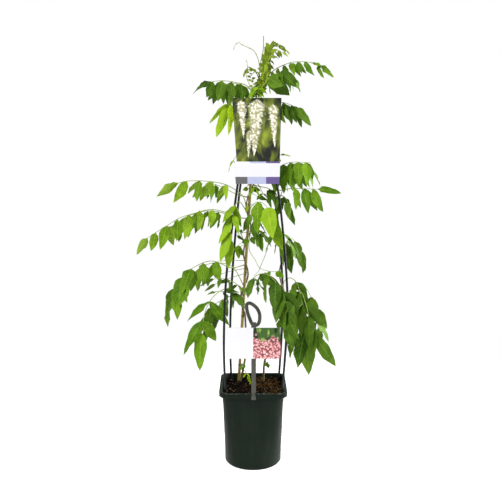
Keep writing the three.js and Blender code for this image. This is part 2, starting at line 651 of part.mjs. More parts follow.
    wide: 0.4, splay: 0.7, tone: "deep", via: [[64, 8, 374], [86, -14, 370], [99, -26, 342],
    [107, -34, 312]] },
  { name: "twig_centre", height: 601, bare: 0.8, pairs: 1, lengths: [12, 12, 26], wide: 0.7, face: 1,
    tone: "leaf", thick: 0.9, via: [[-10, -20, 555], [5, -30, 529], [16, -36, 510], [36, -40, 503],
    [54, -44, 502]] },
  { name: "sprig_cane", height: 742, bare: 0.35, pairs: 2, lengths: [20, 24, 22], wide: 0.42,
    splay: 0.8, fall: 0.4, tone: "bright", via: [[-4, -18, 726], [1, -28, 714], [8, -36, 702]] },
  { name: "sprig_right", height: 731, bare: 0.5, pairs: 1, lengths: [26, 28, 28], wide: 0.42,
    splay: 0.8, fall: 0.4, tone: "deep", via: [[16, -16, 708], [24, -24, 692], [33, -34, 681]] },
  { name: "sprout_base", height: 222, bare: 0.5, pairs: 1, lengths: [16, 16, 22], wide: 0.32,
    splay: 0.6, fall: 0.3, droop: 1.5, face: 0.8, tone: "pale", via: [[-24, 36, 226], [-19, 30, 224],
    [-14, 25, 216]] },
  { name: "leaf_stub", stem: "second", height: 250, bare: 0.5, pairs: 1, lengths: [11, 11, 12],
    wide: 0.8, splay: 0.7, fall: 0.5, face: 1, tone: "deep", thick: 0.9, via: [[33, 42, 250],
    [37, 38, 244]] },
  { name: "leaf_low", height: 240, bare: 0.5, pairs: 1, lengths: [12, 12, 12], wide: 0.8, splay: 0.8,
    fall: 0.4, face: 1, tone: "leaf", thick: 0.9, via: [[-23, 33, 246], [-28, 29, 240]] },
  { name: "leaf_label_left", height: 781, bare: 0.7, pairs: 1, lengths: [18, 20, 24], wide: 0.3,
    splay: 0.7, fall: 0.5, tone: "pale", thick: 0.9, via: [[-22, 4, 790], [-40, -12, 784],
    [-53, -22, 764]] },
  { name: "leaf_label_right", height: 721, bare: 0.75, pairs: 1, lengths: [24, 26, 30], wide: 0.4,
    splay: 0.6, fall: 0.5, tone: "bright", thick: 0.9, via: [[14, 4, 742], [40, 2, 778],
    [66, -6, 786]] },
  { name: "frond_back_upper_left", height: 680, bare: 0.4, pairs: 3, lengths: [40, 48, 42], wide: 0.42,
    via: [[-43, 30, 688], [-75, 66, 702], [-107, 98, 711], [-135, 124, 702]] },
  { name: "frond_back_left", height: 560, bare: 0.36, pairs: 5, lengths: [42, 60, 50], wide: 0.42,
    via: [[-42, 24, 612], [-69, 34, 637], [-122, 72, 642], [-175, 106, 624], [-218, 132, 597]] },
  { name: "frond_back_low_left", height: 450, bare: 0.38, pairs: 4, lengths: [46, 66, 60], wide: 0.42,
    via: [[-52, 42, 499], [-94, 66, 507], [-132, 92, 494], [-164, 116, 466], [-187, 130, 431]] },
  { name: "frond_back_low", height: 405, bare: 0.4, pairs: 3, lengths: [56, 72, 68], wide: 0.42,
    tone: "deep", via: [[-42, 64, 418], [-66, 84, 412], [-109, 98, 382], [-124, 108, 331]] },
  { name: "frond_back_upper_right", stem: "second", height: 660, bare: 0.36, pairs: 4,
    lengths: [42, 54, 48], wide: 0.42, via: [[80, 64, 707], [104, 88, 740], [131, 108, 752],
    [157, 124, 742]] },
  { name: "frond_back_right", stem: "second", height: 520, bare: 0.3, pairs: 3, lengths: [50, 62, 54],
    wide: 0.42, tone: "deep", via: [[84, 70, 553], [98, 90, 569], [115, 110, 554], [127, 126, 516]] },
  { name: "frond_back_low_right", stem: "second", height: 394, bare: 0.36, pairs: 4,
    lengths: [54, 72, 66], wide: 0.42, tone: "deep", via: [[90, 64, 416], [105, 74, 440],
    [123, 90, 444], [147, 106, 426], [169, 122, 374], [179, 132, 316]] },
  { name: "frond_back_top_right", height: 941, bare: 0.3, pairs: 4, lengths: [40, 48, 40], wide: 0.42,
    tone: "deep", via: [[37, 30, 969], [60, 58, 989], [84, 82, 992], [105, 102, 980]] },
  { name: "frond_back_top_left", height: 930, bare: 0.3, pairs: 4, lengths: [40, 50, 42], wide: 0.42,
    tone: "deep", via: [[-13, 26, 949], [-38, 56, 962], [-69, 82, 965], [-95, 100, 954]] },
].map((frond, i) => ({ ...USUAL, seed: i + 1, ...frond }));

// ---- assembly ----------------------------------------------------------------------------------

const plastic = (color, roughness) => ({ color, roughness, metalness: 0 });

const woody = { color: 0x5a4a2c, roughness: 0.8 };
const stems = Object.entries(STEMS).map(([name, route]) => ({
  name,
  curve: curveThrough(route),
  steps: name === "main" ? 62 : 30,
}));

const caneCurve = new THREE.LineCurve3(CANE_FOOT, CANE_TIP);
const legs = Object.entries(rodCurves).map(([name, curve]) => ({
  name: `trellis_leg_${name}`,
  curve: stretch(curve, 130, SLEEVE_HEIGHT + SLEEVE_LENGTH - 5, 14),
}));

// The hole that a bar stands in, with a little air under its foot.
function footHole(curve, radius, tip, sides, steps) {
  const { x, y, z } = curve.getPoint(0);
  const room = boxSolid(x - radius, x + radius, y - radius, y + radius, z - 1, z + 0.8);
  return union([bar(curve, radius + GAP, tip + GAP, sides, steps), room]);
}

const soil = makeSoil().subtract(union([
  ...stems.map(({ curve, steps }) => footHole(curve, STEM_RADIUS, STEM_TIP_RADIUS, 5, steps)),
  ...legs.map(({ curve }) => footHole(curve, ROD_RADIUS, ROD_RADIUS, 6, 12)),
  footHole(caneCurve, CANE_RADIUS, CANE_RADIUS, 10, 1),
]));

addNode("pot", makePot(), plastic(0x2a302d, 0.5));
addNode("soil", largestPiece(soil), { color: 0x3a2618, roughness: 1 });
const cane = bar(caneCurve, CANE_RADIUS, CANE_RADIUS - 0.4, 10, 1);
addNode("bamboo_cane", cane, { color: 0xc79a52, roughness: 0.6 });
for (const { name, curve } of legs) {
  addNode(name, bar(curve, ROD_RADIUS, ROD_RADIUS, 6, 12), plastic(0x16181a, 0.45));
}

function makeCrown() {
  const parts = [];
  const holes = [];
  for (const curve of Object.values(rodCurves)) {
    parts.push(bar(stretch(curve, SLEEVE_HEIGHT + 8, APEX[2] - 0.5, 9), ROD_RADIUS, ROD_RADIUS, 6, 6));
    const sleeve = stretch(curve, SLEEVE_HEIGHT, SLEEVE_HEIGHT + SLEEVE_LENGTH, 2);
    parts.push(bar(sleeve, SLEEVE_RADIUS, SLEEVE_RADIUS, 8, 1));
    const plug = stretch(curve, SLEEVE_HEIGHT - 4, SLEEVE_HEIGHT + SLEEVE_LENGTH - 5 + GAP, 4);
    holes.push(bar(plug, ROD_RADIUS + 2 * GAP, ROD_RADIUS + 2 * GAP, 6, 1));
  }
  const boss = new THREE.SphereGeometry(BOSS_RADIUS, 10, 6);
  boss.translate(...APEX);
  parts.push(solidOf(boss));
  return union(parts).subtract(union(holes));
}
addNode("trellis_crown", makeCrown(), plastic(0x16181a, 0.45));

for (const { name, curve, steps } of stems) {
  addNode(`stem_${name}`, bar(curve, STEM_RADIUS, STEM_TIP_RADIUS, 5, steps), woody);
}

function makeCarryStrap() {
  const left = STRAP_X - STRAP_WIDTH / 2;
  const right = STRAP_X + STRAP_WIDTH / 2;
  const near = -(RIM_HALF + GAP);
  const over = POT_HEIGHT + GAP;
  const inside = -76.3;
  const parts = [
    boxSolid(left, right, near - STRAP_THICK, near, POT_HEIGHT - RIM_DROP - 2, STRAP_TOP),
    boxSolid(left, right, near - STRAP_THICK, inside + STRAP_THICK, over, over + STRAP_THICK),
    boxSolid(left, right, inside, inside + STRAP_THICK, 198, over + STRAP_THICK),
  ];
  const line = LOOP.map(([x, z]) => new THREE.Vector3(x, LOOP_Y, z));
  const ring = new THREE.CatmullRomCurve3(line, true, "catmullrom", 0.5);
  const corners = [[1, 0.7], [0, 1], [-1, 0.7], [-1, -0.7], [0, -1], [1, -0.7]];
  const section = new THREE.Shape(corners.map(([y, x]) => new THREE.Vector2(y * LOOP_DEEP, x * LOOP_WIDE)));
  const tube = new THREE.ExtrudeGeometry(section, { steps: 24, extrudePath: ring, curveSegments: 1 });
  parts.push(solidOf(tube));
  return union(parts);
}
addNode("carry_strap", makeCarryStrap(), plastic(0x4a4b49, 0.55));

function makeCard() {
  const back = CARD.front + SHEET;
  const near = -(RIM_HALF + GAP);
  const left = STRAP_X - STRAP_WIDTH / 2 - GAP;
  const right = STRAP_X + STRAP_WIDTH / 2 + GAP;
  const parts = [boxSolid(CARD.left, CARD.right, CARD.front, back, CARD.bottom, CARD.top)];
  for (const foot of [306, 350]) {
    const belt = boxSolid(left - 2, right + 2, back - 0.4, near + GAP + 1.4, foot, foot + 9);
    const way = boxSolid(left, right, near - STRAP_THICK - GAP, near + GAP, foot - 1, foot + 10);
    parts.push(belt.subtract(way));
  }
  return union(parts);
}
addNode("card", makeCard(), { color: 0xf2f2f0, roughness: 0.45 });

function makeLabel() {
  const shape = new THREE.Shape(LABEL_OUTLINE.map(([x, h]) => new THREE.Vector2(x, h)));
  const plate = new THREE.ExtrudeGeometry(shape, { depth: SHEET, bevelEnabled: false });
  plate.rotateX(Math.PI / 2 - LABEL_LEAN);
  plate.translate(0, LABEL_FRONT + SHEET, LABEL_BOTTOM);
  const parts = [solidOf(plate)];
  for (const side of ["front_left", "front_right"]) {
    const curve = rodCurves[side];
    for (const height of [724, 832]) {
      const { x, y } = atHeight(curve, height + 4);
      const front = LABEL_FRONT + SHEET + (height + 4 - LABEL_BOTTOM) * Math.tan(LABEL_LEAN) - 0.2;
      const clip = boxSolid(x - 4.6, x + 4.6, front, y + ROD_RADIUS + 2.4, height, height + 8);
      const rod = stretch(curve, height - 12, height + 20, 4);
      parts.push(clip.subtract(bar(rod, ROD_RADIUS + GAP, ROD_RADIUS + GAP, 6, 3)));
    }
  }
  return union(parts);
}
addNode("label", makeLabel(), { color: 0xeeeef2, roughness: 0.4 });

// Leafless shoot tips. Each starts inside the main stem and is trimmed back to its bark.
const SHOOTS = {
  shoot_tendril: [[16, 0, 992], [12, -3, 1014], [2, -4, 1033], [-12, -6, 1041], [-29, -8, 1048],
    [-34, -8, 1053], [-44, -9, 1045], [-48, -10, 1034]],
  shoot_left: [[8, -7, 920], [-2, -10, 940], [-12, -10, 960], [-17, -10, 976], [-14, -10, 994],
    [-16, -10, 1013]],
};

// The fronds' stalks are set first, so that no leaflet crosses one.
const stalks = FRONDS.map((frond) => {
  const start = onStem(STEMS[frond.stem], frond.height);
  const curve = curveThrough([start, ...frond.via]);
  const solid = frondSolid(frond, curve, []);
  return { name: frond.name, curve, solid, box: solid.boundingBox() };
});

const stemSleeves = union(stems.map(({ curve, steps }) =>
  bar(curve, STEM_RADIUS + GAP, STEM_TIP_RADIUS + GAP, 5, steps)));

for (const [name, route] of Object.entries(SHOOTS)) {
  const shoot = bar(curveThrough(route), RACHIS_RADIUS, RACHIS_TIP, 4, route.length * 2);
  addNode(name, largestPiece(shoot.subtract(stemSleeves)), FINISH.young);
}

FRONDS.forEach((frond, i) => {
  const own = stalks[i];
  const others = [...placed, ...stalks.filter((stalk, k) => k >= i)];
  const leaflets = growLeaflets(frond, own.curve, others);
  const whole = frondSolid(frond, own.curve, leaflets).subtract(stemSleeves);
  addNode(frond.name, largestPiece(whole), FINISH[frond.tone]);
});

export default group;
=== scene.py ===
"""Looks of a young wisteria in a square-topped nursery pot, tied to a trellis and a bamboo cane.

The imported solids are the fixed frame. Finer pieces take the place of the plain ones: a moulded pot,
crumbly soil, knotty bark, leaves with veins. Lengths in this file are millimetres, +Z is up and the
plant faces -Y. Finished meshes are in metres.
"""
import math
import random
from bisect import bisect_right

import bmesh
import bpy
from bpy.props import (
    FloatProperty,
    FloatVectorProperty,
    IntProperty,
    PointerProperty,
)
from mathutils import Matrix, Quaternion, Vector, noise
from mathutils.kdtree import KDTree


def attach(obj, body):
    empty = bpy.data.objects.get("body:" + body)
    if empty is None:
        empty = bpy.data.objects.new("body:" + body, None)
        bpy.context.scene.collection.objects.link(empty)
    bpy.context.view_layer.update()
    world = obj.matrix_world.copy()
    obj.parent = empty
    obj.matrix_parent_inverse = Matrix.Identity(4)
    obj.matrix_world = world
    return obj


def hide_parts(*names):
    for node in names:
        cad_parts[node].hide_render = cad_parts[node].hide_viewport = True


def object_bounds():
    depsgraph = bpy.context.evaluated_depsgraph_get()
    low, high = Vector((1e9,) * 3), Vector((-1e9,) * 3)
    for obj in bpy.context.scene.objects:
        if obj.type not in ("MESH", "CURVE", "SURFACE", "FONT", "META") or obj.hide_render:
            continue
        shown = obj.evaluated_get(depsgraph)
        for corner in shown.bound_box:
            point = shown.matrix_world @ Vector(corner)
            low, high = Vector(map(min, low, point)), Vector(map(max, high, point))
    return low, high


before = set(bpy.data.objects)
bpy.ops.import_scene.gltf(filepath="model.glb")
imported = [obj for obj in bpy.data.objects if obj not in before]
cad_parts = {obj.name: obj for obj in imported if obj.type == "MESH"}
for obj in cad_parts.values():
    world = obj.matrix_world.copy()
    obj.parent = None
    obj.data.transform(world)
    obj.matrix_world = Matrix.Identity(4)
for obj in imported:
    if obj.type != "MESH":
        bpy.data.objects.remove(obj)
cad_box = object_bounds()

bl_info = {
    "name": "Wisteria in a Pot",
    "version": (1, 0, 0),
    "blender": (4, 5, 0),
    "location": "View3D > Sidebar > Wisteria",
    "description": "Builds the visible surfaces of a potted wisteria around its packed solids",
    "category": "Add Mesh",
}

MM = 0.001
PER_METRE = 1000
UP = Vector((0, 0, 1))
FRONT = Vector((0, -1, 0))
AROUND = 2 * math.pi

# ---- sizes shared with the solids ----------------------------------------------------------------

POT_HEIGHT = 204
POT_WALL = 1.6
POT_BASE_RADIUS = 72
POT_NECK = 76.3
RIM_HALF = 85
RIM_UNDER = POT_HEIGHT - 12  # the rim's skirt ends here
RIM_LEDGE = POT_HEIGHT - POT_WALL
NECK_HEIGHT = 176
BELLY_HEIGHT = 90
# Radius and height along the pot's outline: out under its foot, up the outside and down the inside.
POT_PROFILE = [
    (0, 0), (POT_BASE_RADIUS - 3.5, 0), (POT_BASE_RADIUS, 4), (74, BELLY_HEIGHT), (POT_NECK, NECK_HEIGHT),
    (77.6, RIM_UNDER), (79.2, RIM_LEDGE), (RIM_HALF - POT_WALL, RIM_LEDGE),
    (RIM_HALF - POT_WALL, RIM_UNDER), (RIM_HALF, RIM_UNDER), (RIM_HALF, POT_HEIGHT), (77.6, POT_HEIGHT),
    (75.9, RIM_UNDER), (POT_NECK - POT_WALL, NECK_HEIGHT), (72.3, BELLY_HEIGHT),
    (POT_BASE_RADIUS - POT_WALL, 6), (67, 2.6), (0, 2.6),
]
SQUARE_CORNER = 0.26
CORNER_CROWDING = 0.16  # draws the steps round the pot towards its corners
DRAIN_HOLES = 6
DRAIN_RADIUS = 4.5
DRAIN_CIRCLE = 46

SOIL_TOP = 194
SOIL_BUMP = 2.2
SOIL_CLOD = 1.7
SOIL_EDGE = 190.5  # height of the soil along the pot's wall
SOIL_REACH = 72.5
SOIL_RINGS = 29
SOIL_SLOPE = (68, 74)  # between these the surface sinks to its edge
# Radius and height down the soil's side and under it.
SOIL_SIDE = [(74.7, 190), (73.9, NECK_HEIGHT), (71.6, BELLY_HEIGHT), (69.6, 6.6), (66.1, 3.2), (0, 3.2)]

CANE_RADIUS = 4
CANE_FOOT = Vector((-40.7, 56.4, 140))
CANE_TIP = Vector((2.8, -3.3, 868))

ROD_RADIUS = 2.9
SLEEVE_RADIUS = 4.9
SLEEVE_LENGTH = 16
SLEEVE_HEIGHT = 752
SLEEVE_TAPER = (0.5, 0, 0, 0.2, 0.5, 0.9)  # how much thinner a sleeve is at each step up it
ROD_FOOT = 130
APEX = (10, 0, 900)
BOSS_RADIUS = 5.2

STEM_RADIUS = 2.9
STEM_TIP_RADIUS = 0.9
TWINE_RADIUS = 7.5
TWINE_STEPS = 8  # marks in each turn of a twining stem

STRAP_WIDTH = 11.6
STRAP_THICK = 2
STRAP_X = 1
STRAP_TOP = 381.3
STRAP_GAP = 0.35
STRAP_INSIDE = -76.3
STRAP_HOOK_FOOT = 198
LOOP_Y = -84.8
# The carry loop's centre line, as x and z, and the half width and half depth of its band.
LOOP = [(-2, 380), (8, 377.5), (14.6, 386), (15.4, 404), (9, 419), (-3, 429.6), (-12, 431.5), (-16, 425),
        (-14, 410), (-9, 395)]
LOOP_WIDE = 4.2
LOOP_DEEP = 2.5

CARD_MIDDLE = 0
CARD_TOP = 372
LABEL_BOTTOM = 716

RACHIS_RADIUS = 1.25
RACHIS_TIP = 0.75

# How leaflets of one leaf are set and differ: their pull along the stalk, their splay, their tilt
# in degrees, their length and their width, and how far each is curled and folded.
PULL_SPREAD = 0.5
END_PULL = 1.2
SPLAY_SPREAD = 0.3
TILT = 14
TILT_SPREAD = 90
LENGTH_SPREAD = 0.22
WIDTH_SPREAD = 0.16
CURL = 0.12
FOLD = 0.22
PHASE_SPAN = 6.28  # that the ripples of leaflets are shifted by at the most

CHANCE_STRIDES = (12.9898, 78.233, 37.719)
CHANCE_STRETCH = 43758.5453


def chance(seed, index, channel):
    """A number from 0 to 1 that is the same in every run."""
    by_seed, by_index, by_channel = CHANCE_STRIDES
    wave = math.sin(seed * by_seed + index * by_index + channel * by_channel) * CHANCE_STRETCH
    return wave - math.floor(wave)


def smooth(value, low, high):
    """0 below `low`, 1 above `high`, eased between them."""
    share = min(max((value - low) / (high - low), 0.0), 1.0)
    return share * share * (3 - 2 * share)


# ---- routes --------------------------------------------------------------------------------------


def between_marks(before, start, end, after, w):
    """The point `w` of the way from start to end, on a line that bends smoothly past its marks."""
    leave = (end - before) / 2
    arrive = (after - start) / 2
    bend = 3 * (end - start) - 2 * leave - arrive
    ease = 2 * (start - end) + leave + arrive
    return start + leave * w + bend * w * w + ease * w * w * w


class Route:
    """A smooth line through points, read by its parameter, by a share of its length or by height."""

    CHORDS = 200
    HALVINGS = 30

    def __init__(self, points):
        points = [Vector(point) for point in points]
        self.spans = len(points) - 1
        self.held = [2 * points[0] - points[1], *points, 2 * points[-1] - points[-2]]
        corners = [self.at(i / self.CHORDS) for i in range(self.CHORDS + 1)]
        self.marks = [0.0]
        for near, far in zip(corners, corners[1:]):
            self.marks.append(self.marks[-1] + (far - near).length)
        self.length = self.marks[-1]

    def at(self, t):
        place = t * self.spans
        span = min(int(place), self.spans - 1)
        w = place - span
        return between_marks(*self.held[span:span + 4], w)

    def along(self, share):
        goal = min(max(share, 0.0), 1.0) * self.length
        chord = min(max(bisect_right(self.marks, goal) - 1, 0), self.CHORDS - 1)
        part = (goal - self.marks[chord]) / (self.marks[chord + 1] - self.marks[chord])
        return self.at((chord + part) / self.CHORDS)

    def evenly(self, count):
        return [self.along(i / count) for i in range(count + 1)]

    def at_height(self, height):
        """The point at a height, on a line that only climbs."""
        low, high = 0.0, 1.0
        for _ in range(self.HALVINGS):
            middle = (low + high) / 2
            if self.at(middle).z < height:
                low = middle
            else:
                high = middle
        return self.at(low)

    def stretch(self, low, high, count):
        """Points between two heights."""
        return [self.at_height(low + (high - low) * i / count) for i in range(count + 1)]


def twine(line_at, low, high, radius, start_turn, turns):
    """Points winding round a line, clockwise seen from above as the plant climbs."""
    points = []
    count = round(turns * TWINE_STEPS)
    for i in range(count + 1):
        height = low + (high - low) * i / count
        turn = start_turn - AROUND * turns * i / count
        centre = line_at(height)
        points.append((centre.x + radius * math.cos(turn), centre.y + radius * math.sin(turn), height))
    return points


def loop_at(share):
    """The middle of the carry loop's band, a share of the way round."""
    place = share % 1 * len(LOOP)
    marks = [LOOP[(int(place) + step) % len(LOOP)] for step in (-1, 0, 1, 2)]
    return between_marks(*(Vector((x, LOOP_Y, z)) for x, z in marks), place % 1)


def cane_at(height):
    return CANE_FOOT.lerp(CANE_TIP, (height - CANE_FOOT.z) / (CANE_TIP.z - CANE_FOOT.z))


RODS = {
    "front_left": Route([(-61, -54, 130), (-69, -61, 215), (-72, -62, 330), (-66, -58, 484),
                         (-49, -46, 629), (-36, -37, 725), (-20, -24, 825), (-4, -9, 884), APEX]),
    "back_left": Route([(-52, 54, 130), (-58, 60, 206), (-60, 60, 330), (-54, 56, 476),
                        (-40, 44, 640), (-30, 36, 725), (-16, 24, 825), (0, 9, 884), APEX]),
    "back_right": Route([(62, 54, 130), (70, 60, 214), (77, 59, 350), (76, 56, 476), (63, 45, 620),
                         (50, 36, 725), (36, 24, 825), (20, 9, 884), APEX]),
    "front_right": Route([(60, -51, 130), (69, -57, 184), (75, -61, 240), (84, -61, 400),
                          (79, -56, 525), (67, -46, 650), (56, -37, 725), (40, -24, 825),
                          (24, -9, 884), APEX]),
}

STEMS = {
    "main": [
        (-34, 46, 160), (-33, 45, 192), (-27, 41, 222), (-21, 37, 258), (-19, 33, 320),
        *twine(cane_at, 372, 850, TWINE_RADIUS, -0.5, 4),
        (12, -12, 882), (10, -11, 900), (8, -7, 918), (9, -3, 940), (14, 0, 961), (16, 0, 989),
        (19, 0, 1013), (24, 0, 1036), (25, 0, 1069),
    ],
    "second": [
        (27, 46, 160), (28, 46, 205), (31, 47, 248), (44, 52, 282), (59, 59, 316), (69, 64, 342),
        *twine(RODS["back_right"].at_height, 366, 716, 6.6, 2.31, 2.75),
        (40, 20, 748), (34, 10, 780),
    ],
}

SHOOTS = {
    "shoot_tendril": [(16, 0, 992), (12, -3, 1014), (2, -4, 1033), (-12, -6, 1041),
                      (-29, -8, 1048), (-34, -8, 1053), (-44, -9, 1045), (-48, -10, 1034)],
    "shoot_left": [(8, -7, 920), (-2, -10, 940), (-12, -10, 960), (-17, -10, 976),
                   (-14, -10, 994), (-16, -10, 1013)],
}


def on_stem(route, height):
    """The point of a stem's route at a given height."""
    above = max(1, next(i for i, point in enumerate(route) if point[2] >= height))
    low, high = Vector(route[above - 1]), Vector(route[above])
    return low.lerp(high, (height - low.z) / (high.z - low.z))


# The stem, the bare share of the stalk, pairs of leaflets, their width for their length, how far
# they stand out, point ahead and hang, the share of that for the one at the end, the stalk's turn
# in degrees, how far leaflets face forward, whether one is at the end, the tone, the stalk's radius.
USUAL_LEAF = {
    "stem": "main", "bare": 0.3, "pairs": 4, "wide": 0.42, "splay": 0.45, "ahead": 0.25, "fall": 1,
    "droop": 0.7, "roll": 0, "face": 0, "end": True, "tone": "deep", "thick": RACHIS_RADIUS,
}


def frond(name, height, via, lengths, **own):
    """A leaf: where it leaves its stem, the points that its stalk passes, the lengths of its first,
    middle and last leaflets, and what is its own.
    """
    return {**USUAL_LEAF, "name": name, "height": height, "via": via, "lengths": lengths, **own}


